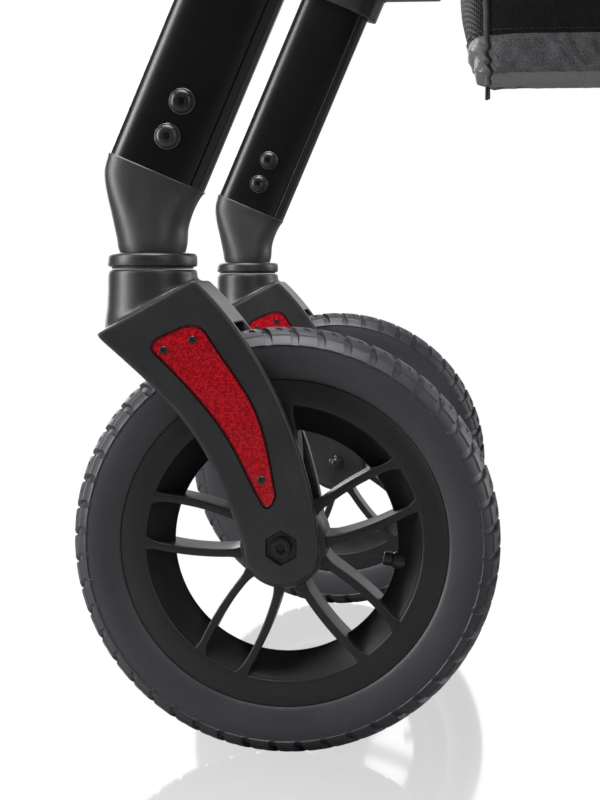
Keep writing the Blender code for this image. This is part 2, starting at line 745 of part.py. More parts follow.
def frame_tube_path():
    """Level from the bracket, round one bend, then down the rear leg's line to the fork."""
    corner_y = REAR_AXLE.y - (FRAME_TUBE_Z - AXLE_Z) * math.tan(REAR_LEG_RAKE)
    turn = math.pi / 2 - REAR_LEG_RAKE
    tangent = FRAME_TUBE_BEND * math.tan(turn / 2)
    path = [(Vector((HALF_TRACK, FRAME_TUBE_START_Y, FRAME_TUBE_Z)), Vector((0, 1, 0)))]
    steps = 5
    for step in range(steps + 1):
        angle = turn * step / steps
        centre = Vector(
            (
                HALF_TRACK,
                corner_y - tangent + FRAME_TUBE_BEND * math.sin(angle),
                FRAME_TUBE_Z - FRAME_TUBE_BEND * (1 - math.cos(angle)),
            )
        )
        path.append((centre, Vector((0, math.cos(angle), -math.sin(angle)))))
    path.append((on_rear_leg(0, REAR_CROWN_TOP + FIT), -REAR_UP))
    return path


def cross_lug(bar_y, behind):
    """The welded plate and the headed pin that one cross bar turns on."""
    eye = CROSS_EYE_WIDTH / 2 + FIT
    in_tube = HALF_TRACK - FRAME_TUBE_THICKNESS / 2 + 0.003
    plate_box = box(
        (RAIL_X - LUG_HALF_HEIGHT, bar_y + eye, CROSS_HINGE_Z - LUG_HALF_HEIGHT),
        (in_tube, bar_y + eye + LUG_THICKNESS, CROSS_HINGE_Z + LUG_HALF_HEIGHT),
    )
    axis = Vector((0, 1, 0))

    def at(y):
        return Vector((RAIL_X, y, CROSS_HINGE_Z))

    radius = CROSS_PIN_DIAMETER / 2
    head = radius + 0.002
    pin = loft(
        [
            round_ring(at(bar_y - eye - 0.003), axis, head, 12),
            round_ring(at(bar_y - eye), axis, head, 12),
            round_ring(at(bar_y - eye), axis, radius, 12),
            round_ring(at(bar_y + eye + behind), axis, radius, 12),
        ]
    )
    return [plate_box, pin]


def frame_tube(bar_y):
    inside = 2 * FRAME_TUBE_WALL
    tube = swept_tube(
        frame_tube_path(),
        oval(FRAME_TUBE_HEIGHT, FRAME_TUBE_THICKNESS, LEG_SQUARENESS),
        oval(FRAME_TUBE_HEIGHT - inside, FRAME_TUBE_THICKNESS - inside, LEG_SQUARENESS),
    )
    return carved(tube, added=cross_lug(bar_y, 0.005))


def rear_plate(outline, inner, outer):
    """A plate from an outline of (before the leg's line, up it) points."""
    return loft(
        [[on_rear_leg(a, r) + OUTWARD * x for a, r in outline] for x in (inner, outer)]
    )


def rear_fork():
    half = REAR_ARM_HALF_WIDTH
    outline = arc((0, 0), half + 0.0015, 180, 360, 8)
    outline += [(half, REAR_CROWN_TOP), (-half, REAR_CROWN_TOP)]
    body = rear_plate(outline, -ARM_OUTER, ARM_OUTER)
    inside = 2 * (FRAME_TUBE_WALL + FIT)
    section = oval(
        FRAME_TUBE_HEIGHT - inside, FRAME_TUBE_THICKNESS - inside, LEG_SQUARENESS
    )
    spigot = loft(
        [
            placed(section, on_rear_leg(0, r), REAR_BACK, OUTWARD)
            for r in (REAR_CROWN_TOP - 0.004, REAR_CROWN_TOP + REAR_SPIGOT_LENGTH)
        ]
    )
    pivot_a, pivot_r = BRAKE_PIVOT
    gap = BRAKE_ARM_WIDTH / 2 + RUN
    ear_outline = [(-0.015, pivot_r - 0.011), (-0.015, pivot_r + 0.008)] + arc(
        (pivot_a, pivot_r), 0.008, 90, 270, 6
    )
    ears = [
        rear_plate(ear_outline, side * gap, side * (gap + BRAKE_EAR_THICKNESS)) for side in (1, -1)
    ]
    reach = OUTWARD * (gap + BRAKE_EAR_THICKNESS - 0.001)
    centre = on_rear_leg(pivot_a, pivot_r)
    pin = rod(centre - reach, centre + reach, BRAKE_PIN_DIAMETER / 2)
    pocket = turned_disc(REAR_AXLE, TYRE_DIAMETER / 2 + TYRE_GAP, ARM_INNER, 48)
    end = OUTWARD * 0.05
    axle_hole = hole(REAR_AXLE - end, REAR_AXLE + end, AXLE_DIAMETER / 2 + FIT)
    return carved(body, [spigot] + ears + [pin], [pocket, axle_hole])


def brake_arm():
    """A lever on the fork's pin: its shoe follows the tread, and its tail takes the cable behind."""
    pivot_a, pivot_r = BRAKE_PIVOT
    shoe = TYRE_DIAMETER / 2 + SHOE_GAP
    start, end = 90 + SHOE_START, 90 + SHOE_END
    inner = arc((0, 0), shoe, start, end, 5)
    outer = arc((0, 0), shoe + SHOE_THICKNESS, end, start + 4, 3)
    top = [(pivot_a - 0.006, pivot_r + 0.008), (pivot_a + 0.004, pivot_r + 0.009)]
    tail = [(BRAKE_TAIL, pivot_r + 0.013), (BRAKE_TAIL, pivot_r + 0.005)]
    outline = inner + outer + top + tail + [(pivot_a + 0.008, pivot_r - 0.004)]
    half = BRAKE_ARM_WIDTH / 2
    body = rear_plate(outline, -half, half)
    centre = on_rear_leg(pivot_a, pivot_r)
    bore = hole(centre - OUTWARD * 0.02, centre + OUTWARD * 0.02, BRAKE_PIN_DIAMETER / 2 + RUN)
    return carved(body, removed=[bore])


def make_rear_frame():
    for side, word, bar_y in ((1, "left", CROSS_BAR_A_Y), (-1, "right", CROSS_BAR_B_Y)):
        node(f"frame_tube_{word}", frame_tube(bar_y), "tube", side=side)
    pair("rear_fork", rear_fork(), "plastic")
    pair("brake_arm", brake_arm(), "plastic", on_rear_leg(*BRAKE_PIVOT))


# ---------------------------------------------------------------- cross frame, seat and bag


def cross_bar(y, low_side):
    """A bar from one side's lower pin to the other side's seat rail, which its upper eye turns on."""
    axis = Vector((0, 1, 0))
    low = Vector((low_side * RAIL_X, y, CROSS_HINGE_Z))
    high = Vector((-low_side * RAIL_X, y, SEAT_RAIL_Z))
    along = (high - low).normalized()
    across = axis.cross(along)
    section = oval(CROSS_BAR_WIDTH, CROSS_BAR_THICKNESS, 3.0, 12)
    ends = (low + along * 0.008, high - along * 0.013)
    bar = loft([placed(section, point, across, axis) for point in ends])
    width = axis * (CROSS_EYE_WIDTH / 2)
    low_bore = CROSS_PIN_DIAMETER / 2 + RUN
    high_bore = RAIL_DIAMETER / 2 + RUN
    eyes = [
        rod(low - width, low + width, low_bore + LOW_EYE_WALL, 14),
        rod(high - width, high + width, high_bore + HIGH_EYE_WALL, 16),
    ]
    reach = axis * 0.03
    middle = (low + high) / 2
    bores = [
        hole(low - reach, low + reach, low_bore, 12),
        hole(high - reach, high + reach, high_bore, 14),
        hole(middle - reach, middle + reach, CROSS_PIVOT_DIAMETER / 2 + RUN, 8),
    ]
    return carved(bar, eyes, bores)


def cross_pivot():
    """The bolt where the bars cross, with the spacer between them."""
    axis = Vector((0, 1, 0))
    half = CROSS_BAR_THICKNESS / 2 + FIT
    shank = CROSS_PIVOT_DIAMETER / 2
    washer = 0.009
    a, b = CROSS_BAR_A_Y, CROSS_BAR_B_Y
    sizes = [
        (a - half - 0.005, washer * 0.7),
        (a - half, washer),
        (a - half, shank),
        (a + half, shank),
        (a + half, washer),
        (b - half, washer),
        (b - half, shank),
        (b + half, shank),
        (b + half, washer),
        (b + half + 0.006, washer * 0.7),
    ]
    z = (CROSS_HINGE_Z + SEAT_RAIL_Z) / 2
    return loft([round_ring(Vector((0, y, z)), axis, radius, 10) for y, radius in sizes])


def seat_rail():
    axis = Vector((0, 1, 0))
    outer = RAIL_DIAMETER / 2
    inner = outer - RAIL_WALL
    ends = (RAIL_FRONT_Y, RAIL_REAR_Y)
    points = [(outer, ends[0]), (outer, ends[1]), (inner, ends[1]), (inner, ends[0])]
    centre = Vector((RAIL_X, 0, SEAT_RAIL_Z))
    rings = [round_ring(centre + axis * y, axis, radius, 14) for radius, y in points]
    return loft(rings, closed=True)


def seat():
    """A sling with a sleeve round each rail."""
    axis = Vector((0, 1, 0))
    inside = RAIL_DIAMETER / 2 + FIT
    outside = inside + SLEEVE_WALL
    bottom = SEAT_TOP_Z - SEAT_THICKNESS
    slab = box((-RAIL_X, SEAT_FRONT_Y, bottom), (RAIL_X, SEAT_REAR_Y, SEAT_TOP_Z))
    sleeves, bores = [], []
    for side in (1, -1):
        start = Vector((side * RAIL_X, SEAT_FRONT_Y, SEAT_RAIL_Z))
        end = Vector((side * RAIL_X, SEAT_REAR_Y, SEAT_RAIL_Z))
        sleeves.append(rod(start, end, outside, 16))
        bores.append(hole(start - axis * 0.01, end + axis * 0.01, inside, 16))
    return carved(slab, sleeves, bores)


def bag():
    """An open, sagging cup of cloth, with a flap up each side to the seat's underside."""

    def level(z, half_width, inset):
        x = half_width - inset
        front, rear = BAG_FRONT_Y + inset, BAG_REAR_Y - inset
        return [Vector((a, y, z)) for a, y in ((-x, front), (x, front), (x, rear), (-x, rear))]

    outside = [
        level(BAG_BOTTOM_Z, BAG_BOTTOM_HALF_WIDTH, 0),
        level(BAG_RIM_Z, BAG_HALF_WIDTH, 0),
    ]
    inside = [
        level(BAG_RIM_Z, BAG_HALF_WIDTH, BAG_WALL),
        level(BAG_BOTTOM_Z + BAG_WALL, BAG_BOTTOM_HALF_WIDTH, BAG_WALL),
    ]
    flap_top = SEAT_TOP_Z - SEAT_THICKNESS - FIT
    flaps = []
    for edge in (-BAG_HALF_WIDTH, BAG_HALF_WIDTH - BAG_WALL):
        low = (edge, BAG_FRONT_Y + BAG_FLAP_INSET, BAG_RIM_Z - BAG_WALL)
        high = (edge + BAG_WALL, BAG_REAR_Y - BAG_FLAP_INSET, flap_top)
        flaps.append(box(low, high))
    return carved(loft(outside + inside), flaps)


def make_cross_frame():
    left_pin = Vector((RAIL_X, CROSS_BAR_A_Y, CROSS_HINGE_Z))
    middle = Vector((0, CROSS_BAR_B_Y, (CROSS_HINGE_Z + SEAT_RAIL_Z) / 2))
    node("cross_bar_a", cross_bar(CROSS_BAR_A_Y, 1), "tube", left_pin)
    node("cross_bar_b", cross_bar(CROSS_BAR_B_Y, -1), "tube", middle)
    node("cross_pivot", cross_pivot(), "bolt", middle)
    pair("seat_rail", seat_rail(), "tube", Vector((RAIL_X, 0, SEAT_RAIL_Z)))
    node("seat", seat(), "fabric", Vector((RAIL_X, 0, SEAT_RAIL_Z)))
    node("bag", bag(), "fabric", Vector((RAIL_X, 0, SEAT_RAIL_Z)))


# ---------------------------------------------------------------- handles and brakes


def handle_bend():
    """The centres and directions of the handle tube's bend, from the leg's rake to the grip's rise."""
    start = on_leg(HANDLE_BEND_START)
    first = math.pi / 2 - LEG_RAKE
    radius = HANDLE_BEND_RADIUS
    places = []
    steps = 5
    for step in range(steps + 1):
        angle = first + (GRIP_RISE - first) * step / steps
        offset = Vector(
            (0, radius * (math.sin(first) - math.sin(angle)), radius * (math.cos(angle) - math.cos(first)))
        )
        places.append((start + offset, Vector((0, math.cos(angle), math.sin(angle)))))
    return places


def on_grip(along, drop=0.0):
    """A point from the end of the handle's bend: back along the grip, and below its axis."""
    return handle_bend()[-1][0] + GRIP_BACK * along + GRIP_DOWN * drop


def handle_tube():
    """A round tube with a glide foot that fits the inside of the leg."""
    inside = 2 * (LEG_WALL + 2 * FIT)
    foot = oval(LEG_WIDTH - inside, LEG_THICKNESS - inside, LEG_SQUARENESS)
    tube = oval(HANDLE_TUBE_DIAMETER, HANDLE_TUBE_DIAMETER)
    hollow_size = HANDLE_TUBE_DIAMETER - 2 * HANDLE_TUBE_WALL
    hollow = oval(hollow_size, hollow_size)
    foot_top = HANDLE_START + HANDLE_FOOT_LENGTH
    path = [(on_leg(foot_top), LEG_UP)] + handle_bend()
    path.append((on_grip(HOUSING_LENGTH + GRIP_LENGTH - 0.008), GRIP_BACK))
    outer = [placed(foot, on_leg(s), LEG_BACK, OUTWARD) for s in (HANDLE_START, foot_top)]
    inner = [placed(hollow, on_leg(HANDLE_START), LEG_BACK, OUTWARD)]
    for centre, direction in path:
        across = direction.cross(OUTWARD).normalized()
        outer.append(placed(tube, centre, across, OUTWARD))
        inner.append(placed(hollow, centre, across, OUTWARD))
    return loft(outer + inner[::-1], closed=True)


def hand_grip():
    bore = HANDLE_TUBE_DIAMETER / 2 + 2 * FIT
    start = HOUSING_LENGTH + FIT
    end = start + GRIP_LENGTH
    sizes = (
        (end - 0.007, bore),
        (start, bore),
        (start, GRIP_RADIUS),
        (start + 0.45 * GRIP_LENGTH, GRIP_RADIUS + 0.0015),
        (end - 0.006, GRIP_RADIUS),
        (end, GRIP_RADIUS - 0.006),
    )
    return loft([round_ring(on_grip(s), GRIP_BACK, radius) for s, radius in sizes])


def lever_housing():
    """A clamp round the handle tube with two ears and a pin for the lever."""
    outer = oval(HOUSING_HEIGHT, HOUSING_WIDTH, 2.6)
    bore_size = HANDLE_TUBE_DIAMETER + 2 * FIT
    bore = oval(bore_size, bore_size)
    ends = (0.0, HOUSING_LENGTH)
    rings = [placed(outer, on_grip(s, HOUSING_DROP), GRIP_DOWN, OUTWARD) for s in ends]
    rings += [placed(bore, on_grip(s), GRIP_DOWN, OUTWARD) for s in reversed(ends)]
    body = loft(rings, closed=True)
    gap = LEVER_WIDTH / 2 + RUN
    ear_outline = arc((LEVER_PIVOT_ALONG, -LEVER_PIVOT_DROP), 0.008, 180, 360, 6)
    ear_outline += [(LEVER_PIVOT_ALONG + 0.008, -0.024), (LEVER_PIVOT_ALONG - 0.008, -0.024)]
    ears = [grip_plate(ear_outline, side * gap, side * (gap + 0.005)) for side in (1, -1)]
    centre = on_grip(LEVER_PIVOT_ALONG, LEVER_PIVOT_DROP)
    reach = OUTWARD * (gap + 0.004)
    pin = rod(centre - reach, centre + reach, LEVER_PIN_DIAMETER / 2, 10)
    return carved(body, ears + [pin])


def grip_plate(outline, inner, outer):
    """A plate from an outline of (along the grip, above its axis) points."""
    return loft([[on_grip(s, -h) + OUTWARD * x for s, h in outline] for x in (inner, outer)])


def brake_lever():
    """A blade below the grip with a finger gap between them."""
    pivot = (LEVER_PIVOT_ALONG, -LEVER_PIVOT_DROP)
    top = bezier((0.018, -0.0315), (0.045, -0.045), (0.085, -0.050), (0.138, -0.0475), 6)
    tip = [(0.143, -0.0515), (0.140, -0.0565)]
    under = bezier((0.132, -0.0575), (0.085, -0.061), (0.045, -0.058), (0.014, -0.0430), 6)
    front = [(0.006, -0.0400), (0.006, -0.0325)]
    body = grip_plate(top + tip + under + front, -LEVER_WIDTH / 2, LEVER_WIDTH / 2)
    centre = on_grip(pivot[0], -pivot[1])
    bore = hole(centre - OUTWARD * 0.02, centre + OUTWARD * 0.02, LEVER_PIN_DIAMETER / 2 + RUN, 10)
    return carved(body, removed=[bore])


def leg_clamp():
    """A cap over the leg's end that guides the handle tube and takes the knob's screw."""
    low, high = LEG_LENGTH - CLAMP_OVER_LEG, LEG_LENGTH - CLAMP_OVER_LEG + CLAMP_LENGTH
    step = LEG_LENGTH + FIT
    outer = oval(LEG_WIDTH + 2 * CLAMP_WALL, LEG_THICKNESS + 2 * CLAMP_WALL, LEG_SQUARENESS)
    over_leg = leg_section(FIT)
    bore_size = HANDLE_TUBE_DIAMETER + 2 * RUN
    bore = oval(bore_size, bore_size)
    places = ((over_leg, low), (over_leg, step), (bore, step), (bore, high), (outer, high), (outer, low))
    rings = [placed(ring, on_leg(s), LEG_BACK, OUTWARD) for ring, s in places]
    centre = on_leg(KNOB_ALONG)
    start = centre + OUTWARD * 0.010
    end = centre + OUTWARD * 0.040
    screw_hole = hole(start, end, KNOB_SCREW_DIAMETER / 2 + FIT, 8)
    return carved(loft(rings, closed=True), removed=[screw_hole])


def clamp_knob():
    """A lobed knob on the screw that presses the handle tube."""
    centre = on_leg(KNOB_ALONG)
    face = LEG_THICKNESS / 2 + CLAMP_WALL + FIT
    screw = KNOB_SCREW_DIAMETER / 2
    sizes = [
        (HANDLE_TUBE_DIAMETER / 2 + RUN, screw, 0),
        (face, screw, 0),
        (face, KNOB_RADIUS * 0.55, 0),
        (face + 0.004, KNOB_RADIUS - 0.003, 0.0025),
        (face + 0.012, KNOB_RADIUS - 0.003, 0.0025),
        (face + 0.015, KNOB_RADIUS - 0.006, 0.0020),
    ]
    rings = [
        round_ring(centre + OUTWARD * x, OUTWARD, radius, 20, KNOB_LOBES, height)
        for x, radius, height in sizes
    ]
    return loft(rings)


CABLE_ROUTE = (
    (0.2800, -0.0635, 0.8575),
    (0.2805, -0.0790, 0.8490),
    (0.2830, -0.0870, 0.8200),
    (0.2880, -0.0780, 0.7700),
    (0.2950, -0.0620, 0.7100),
    (0.2995, -0.0500, 0.6550),
    (0.2993, -0.0440, 0.6200),
    (0.2935, -0.0370, 0.5985),
    (0.2805, -0.0150, 0.5945),
    (0.2800, 0.0250, 0.5940),
    (0.2800, 0.0560, 0.5860),
    (0.2800, 0.0740, 0.5650),
    (0.2800, 0.0860, 0.5250),
    (0.2800, 0.1060, 0.4500),
    (0.2800, 0.1320, 0.3480),
)


def smooth_route(points, spacing):
    """Points at even spacing on a smooth curve through the route."""
    knots = [Vector(point) for point in points]
    ends = [2 * knots[0] - knots[1]] + knots + [2 * knots[-1] - knots[-2]]
    fine = []
    steps = 24
    for i in range(1, len(ends) - 2):
        a, b, c, d = ends[i - 1 : i + 3]
        for step in range(steps):
            t = step / steps
            curved = (2 * a - 5 * b + 4 * c - d) * t**2 + (3 * b - a - 3 * c + d) * t**3
            fine.append((2 * b + (c - a) * t + curved) / 2)
    fine.append(knots[-1])
    length = sum((q - p).length for p, q in zip(fine, fine[1:]))
    count = round(length / spacing)
    route, travelled, wanted = [fine[0]], 0.0, length / count
    for p, q in zip(fine, fine[1:]):
        travelled += (q - p).length
        if travelled >= wanted * len(route) - 1e-9 and len(route) < count:
            route.append(q)
    return route + [fine[-1]]


def brake_cable(side, word):
    end = on_rear_leg(-0.0300, BRAKE_PIVOT[1] + 0.0165)
    points = smooth_route([*CABLE_ROUTE, tuple(end)], CABLE_SPACING)
    curve = bpy.data.curves.new(f"brake_cable_{word}", "CURVE")
    curve.dimensions = "3D"
    curve.bevel_depth = CABLE_DIAMETER / 2
    curve.bevel_resolution = 2
    curve.use_fill_caps = True
    spline = curve.splines.new("POLY")
    spline.points.add(len(points) - 1)
    for slot, point in zip(spline.points, points):
        slot.co = (side * point.x, point.y, point.z, 1)
    curve.materials.append(material(f"brake_cable_{word}", "rubber"))
    obj = bpy.data.objects.new(f"brake_cable_{word}", curve)
    bpy.context.scene.collection.objects.link(obj)


def make_handles():
    pair("leg_clamp", leg_clamp(), "plastic")
    pair("clamp_knob", clamp_knob(), "plastic", on_leg(KNOB_ALONG))
    pair("handle_tube", handle_tube(), "tube", on_leg(HANDLE_BEND_START))
    pair("hand_grip", hand_grip(), "rubber", on_leg(HANDLE_BEND_START))
    pair("lever_housing", lever_housing(), "plastic", on_leg(HANDLE_BEND_START))
    pair("brake_lever", brake_lever(), "plastic", on_grip(LEVER_PIVOT_ALONG, LEVER_PIVOT_DROP))
    for side, word in ((1, "left"), (-1, "right")):
        brake_cable(side, word)


clear_scene()
make_wheels()
make_front_forks()
make_front_legs()
make_rear_frame()
make_cross_frame()
make_handles()
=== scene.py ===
import math

import bmesh
import bpy
from mathutils import Matrix, Vector, noise


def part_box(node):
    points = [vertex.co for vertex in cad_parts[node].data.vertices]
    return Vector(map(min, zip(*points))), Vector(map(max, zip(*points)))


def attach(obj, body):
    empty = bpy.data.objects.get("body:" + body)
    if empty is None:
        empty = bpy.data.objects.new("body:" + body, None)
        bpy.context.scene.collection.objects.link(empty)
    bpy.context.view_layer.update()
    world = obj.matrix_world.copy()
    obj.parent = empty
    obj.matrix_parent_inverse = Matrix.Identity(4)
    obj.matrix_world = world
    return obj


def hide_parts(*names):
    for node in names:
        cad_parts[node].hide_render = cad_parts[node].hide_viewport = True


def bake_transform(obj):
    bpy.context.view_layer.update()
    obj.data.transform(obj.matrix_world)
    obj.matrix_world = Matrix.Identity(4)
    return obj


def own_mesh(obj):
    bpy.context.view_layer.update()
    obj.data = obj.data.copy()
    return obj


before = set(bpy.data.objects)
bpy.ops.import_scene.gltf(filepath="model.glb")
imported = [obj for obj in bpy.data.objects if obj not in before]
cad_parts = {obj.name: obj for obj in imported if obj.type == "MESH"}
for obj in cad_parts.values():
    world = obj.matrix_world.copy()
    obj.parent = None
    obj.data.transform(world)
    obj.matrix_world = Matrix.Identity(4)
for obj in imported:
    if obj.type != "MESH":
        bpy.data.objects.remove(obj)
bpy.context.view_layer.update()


# ---------------------------------------------------------------- the studio
# A white sweep with soft boxes over it, in front of it and to both sides, and a camera low on the
# walker's left, level with the front wheels.

camera_data = bpy.data.cameras.new("camera")
camera_data.lens = 78.75
camera = bpy.data.objects.new("camera", camera_data)
camera.location = (1.46, -0.1144, 0.32)
turn_left, tip_down = math.radians(4.9), math.radians(3.8)
looking = Vector((
    -math.cos(tip_down) * math.cos(turn_left),
    -math.cos(tip_down) * math.sin(turn_left),
    -math.sin(tip_down),
))
camera.rotation_euler = looking.to_track_quat("-Z", "Y").to_euler()
bpy.context.scene.collection.objects.link(camera)
bpy.context.scene.camera = camera
bpy.context.scene.view_settings.view_transform = "Standard"


def feed(tree, node, inputs):
    """Sets a node's inputs, each from a constant, a socket or a node's first output."""
    for socket, value in inputs.items():
        if isinstance(value, bpy.types.Node):
            value = value.outputs[0]
        if isinstance(value, bpy.types.NodeSocket):
            tree.links.new(value, node.inputs[socket])
        else:
            node.inputs[socket].default_value = value


def add_node(tree, kind, inputs=None, **settings):
    made = tree.nodes.new(kind)
    for setting, value in settings.items():
        setattr(made, setting, value)
    feed(tree, made, inputs or {})
    return made


def maths(tree, operation, *values, **settings):
    """A Math node on one, two or three values."""
    return add_node(tree, "ShaderNodeMath", dict(enumerate(values)), operation=operation, **settings)


def vector_maths(tree, operation, *values):
    return add_node(tree, "ShaderNodeVectorMath", dict(enumerate(values)), operation=operation)


def remapped(tree, value, low, high, to_low=0.0, to_high=1.0, **settings):
    """A value moved from one range to another, held at its ends."""
    return add_node(tree, "ShaderNodeMapRange", {
        "Value": value, "From Min": low, "From Max": high, "To Min": to_low, "To Max": to_high},
        **settings)


# A Mix node's two inputs and its output, for each kind of value.
MIX_SOCKETS = {"FLOAT": (2, 3, 0), "VECTOR": (4, 5, 1), "RGBA": (6, 7, 2)}


def mix_of(tree, kind, factor, first, second, **settings):
    """The output of a Mix node between two values of one kind."""
    one, two, out = MIX_SOCKETS[kind]
    made = add_node(tree, "ShaderNodeMix", {"Factor": factor}, data_type=kind, **settings)
    feed(tree, made, {one: first, two: second})
    return made.outputs[out]


world = bpy.data.worlds.new("sweep")
world.use_nodes = True
bpy.context.scene.world = world
sky = world.node_tree
sky.nodes.clear()
seen = add_node(sky, "ShaderNodeLightPath")
backdrop = add_node(sky, "ShaderNodeBackground", {"Color": (1, 1, 1, 1), "Strength": 1.0})
way = add_node(sky, "ShaderNodeTexCoord")
way_parts = add_node(sky, "ShaderNodeSeparateXYZ", {0: way.outputs["Generated"]})
behind = remapped(
    sky, way_parts.outputs["X"], -0.60, -0.86, 0.10, 0.95, interpolation_type="SMOOTHSTEP")
ambient = add_node(sky, "ShaderNodeBackground", {
    "Color": (0.96, 0.98, 1, 1), "Strength": behind})
blended = add_node(sky, "ShaderNodeMixShader", {
    0: seen.outputs["Is Camera Ray"], 1: ambient, 2: backdrop})
add_node(sky, "ShaderNodeOutputWorld", {"Surface": blended})

SOFT_BOXES = (  # name, place, aimed at, width, height, watts
    ("top_box", (0.3, -0.3, 2.2), (0.1, -0.1, 0.3), 1.6, 1.2, 75),
    ("camera_side_box", (2.6, 1.7, 1.3), (0.2, -0.15, 0.35), 0.9, 1.6, 15),
    ("front_box", (0.9, -2.2, 0.9), (0.2, -0.25, 0.3), 0.6, 1.8, 48),
    ("rear_box", (-0.9, 2.3, 1.2), (0.1, 0, 0.4), 1.4, 2.0, 40),
    ("far_side_box", (-2.4, -1.6, 1.2), (0, 0, 0.4), 1.4, 1.8, 40),
)
for name, place, target, width, height, watts in SOFT_BOXES:
    light = bpy.data.lights.new(name, "AREA")
    light.shape = "RECTANGLE"
    light.size, light.size_y, light.energy = width, height, watts
    box = bpy.data.objects.new(name, light)
    box.location = place
    box.rotation_euler = (Vector(target) - Vector(place)).to_track_quat("-Z", "Y").to_euler()
    box.visible_camera = False
    bpy.context.scene.collection.objects.link(box)

SWEEP_RADIUS, UNDER_TYRES = 40, 0.0004
sweep_shape = bmesh.new()
bmesh.ops.create_circle(sweep_shape, cap_ends=True, segments=64, radius=SWEEP_RADIUS)
sweep_mesh = bpy.data.meshes.new("floor")
sweep_shape.to_mesh(sweep_mesh)
floor = bpy.data.objects.new("floor", sweep_mesh)
bpy.context.scene.collection.objects.link(floor)
paint = bpy.data.materials.new("sweep_paint")
paint.use_nodes = True
tree = paint.node_tree
tree.nodes.clear()
place = add_node(tree, "ShaderNodeTexCoord")
away = vector_maths(tree, "LENGTH", place.outputs["Object"])
far = remapped(tree, away.outputs["Value"], 0.2, 1.1, interpolation_type="SMOOTHSTEP")
polish = add_node(tree, "ShaderNodeBsdfGlossy", {"Color": (0.42, 0.42, 0.42, 1), "Roughness": 0.07})
glow = add_node(tree, "ShaderNodeEmission", {"Color": (1, 1, 1, 1), "Strength": 0.62})
near_floor = add_node(tree, "ShaderNodeAddShader", {0: polish, 1: glow})
far_floor = add_node(tree, "ShaderNodeEmission", {"Color": (1, 1, 1, 1), "Strength": 1.0})
shown = add_node(tree, "ShaderNodeMixShader", {
    0: far.outputs["Result"], 1: near_floor, 2: far_floor})
dull_floor = add_node(tree, "ShaderNodeBsdfDiffuse", {"Color": (0.30, 0.30, 0.30, 1)})
path = add_node(tree, "ShaderNodeLightPath")
mixed = add_node(tree, "ShaderNodeMixShader", {
    0: path.outputs["Is Camera Ray"], 1: dull_floor, 2: shown})
add_node(tree, "ShaderNodeOutputMaterial", {"Surface": mixed})
sweep_mesh.materials.append(paint)
floor.location.z = -UNDER_TYRES


# ---------------------------------------------------------------- tyres
# Four air tyres of black rubber, moulded in one piece: a smooth bulged sidewall, then a raised
# tread with a slanting groove every few degrees, a fine groove round the shoulder and a slot in
# each block. One pitch of the tread is drawn, and repeated round the axle.

TYRE_RADIUS = 0.1455
TREAD_PITCHES = 48
# Half a section in millimetres: how far over the crown, where 1 is its middle, then radius, across.
TREAD_LINE = (
    (1.00, 145.5, 0.0), (0.90, 145.4, 2.6), (0.80, 145.1, 5.2), (0.78, 145.0, 5.7),
    (0.68, 144.4, 8.3), (0.58, 143.5, 10.9), (0.56, 143.3, 11.5), (0.46, 142.1, 14.0),
    (0.37, 140.9, 16.1), (0.35, 140.5, 16.6), (0.31, 139.9, 17.4), (0.29, 139.5, 17.9),
    (0.20, 137.9, 19.8), (0.10, 136.1, 21.6), (0.03, 134.8, 22.8), (0.00, 134.1, 23.2))
SIDEWALL_LINE = (
    (133.5, 22.6), (131.5, 23.0), (129.0, 23.4), (126.0, 23.5), (122.5, 23.2), (119.0, 22.5),
    (116.0, 21.6), (113.5, 20.6), (111.6, 19.7), (110.9, 18.9), (110.8, 17.0))
ROUND_STEPS = (-1.7, -1.2, -0.95, 0.0, 0.95, 1.2, 1.7, 2.2, 2.6, 2.8, 3.4, 4.0, 4.2, 4.9, 5.4)
GROOVE_DEPTH, SLOT_DEPTH, LINE_DEPTH = 3.0, 1.3, 0.8


def groove_angle(over):
    """A groove's middle, in degrees. It slants and bows from the crown to the shoulder."""
    return -3.4 * (1 - over) - 3.6 * over * (1 - over)


def tread_depth(over, step):
    """How far a point of the tread is below the surface, in millimetres."""
    if abs(step) < 1.0 and over > 0.02:
        return GROOVE_DEPTH * (1 if over < 0.8 else 0.6)
    if 2.7 < step < 4.1 and 0.57 < over < 0.79:
        return SLOT_DEPTH
    if 0.30 < over < 0.36:
        return LINE_DEPTH
    return 0.0


def tyre_pitch():
    """One pitch of the tyre round the X axis, open at both edges, where the next pitch joins."""
    half = [(over, r, x, True) for over, r, x in TREAD_LINE]
    half += [(0.0, r, x, False) for r, x in SIDEWALL_LINE]
    section = [(over, r, -x, tread) for over, r, x, tread in reversed(half[1:])] + half
    shape = bmesh.new()
    crown = shape.verts.layers.float.new("over_crown")
    columns = []
    for step in (*ROUND_STEPS, ROUND_STEPS[0] + 360 / TREAD_PITCHES):
        column = []
        for over, radius, across, tread in section:
            narrow = min(1.0, 0.72 + 2.0 * over)
            wide = step * narrow if abs(step) < 1.3 else step
            angle = math.radians((groove_angle(over) if tread else groove_angle(0)) + wide)
            local = step if step < 5.9 else ROUND_STEPS[0]
            radius -= tread_depth(over, local) if tread else 0
            reach = radius / 1000
            point = shape.verts.new((across / 1000, reach * math.cos(angle), reach * math.sin(angle)))
            point[crown] = over + (0.2 if tread else 0)
            column.append(point)
        columns.append(column)
    for one, two in zip(columns, columns[1:]):
        inner = zip(one, one[1:], two, two[1:])
        for a, b, c, d in inner:
            shape.faces.new((a, b, d, c))
        shape.faces.new((one[-1], one[0], two[0], two[-1]))
    bmesh.ops.recalc_face_normals(shape, faces=shape.faces)
    outward = max(shape.faces, key=lambda face: face.calc_center_median().yz.length)
    if outward.normal.dot(Vector((0, *outward.calc_center_median().yz))) < 0:
        bmesh.ops.reverse_faces(shape, faces=shape.faces)
    return shape


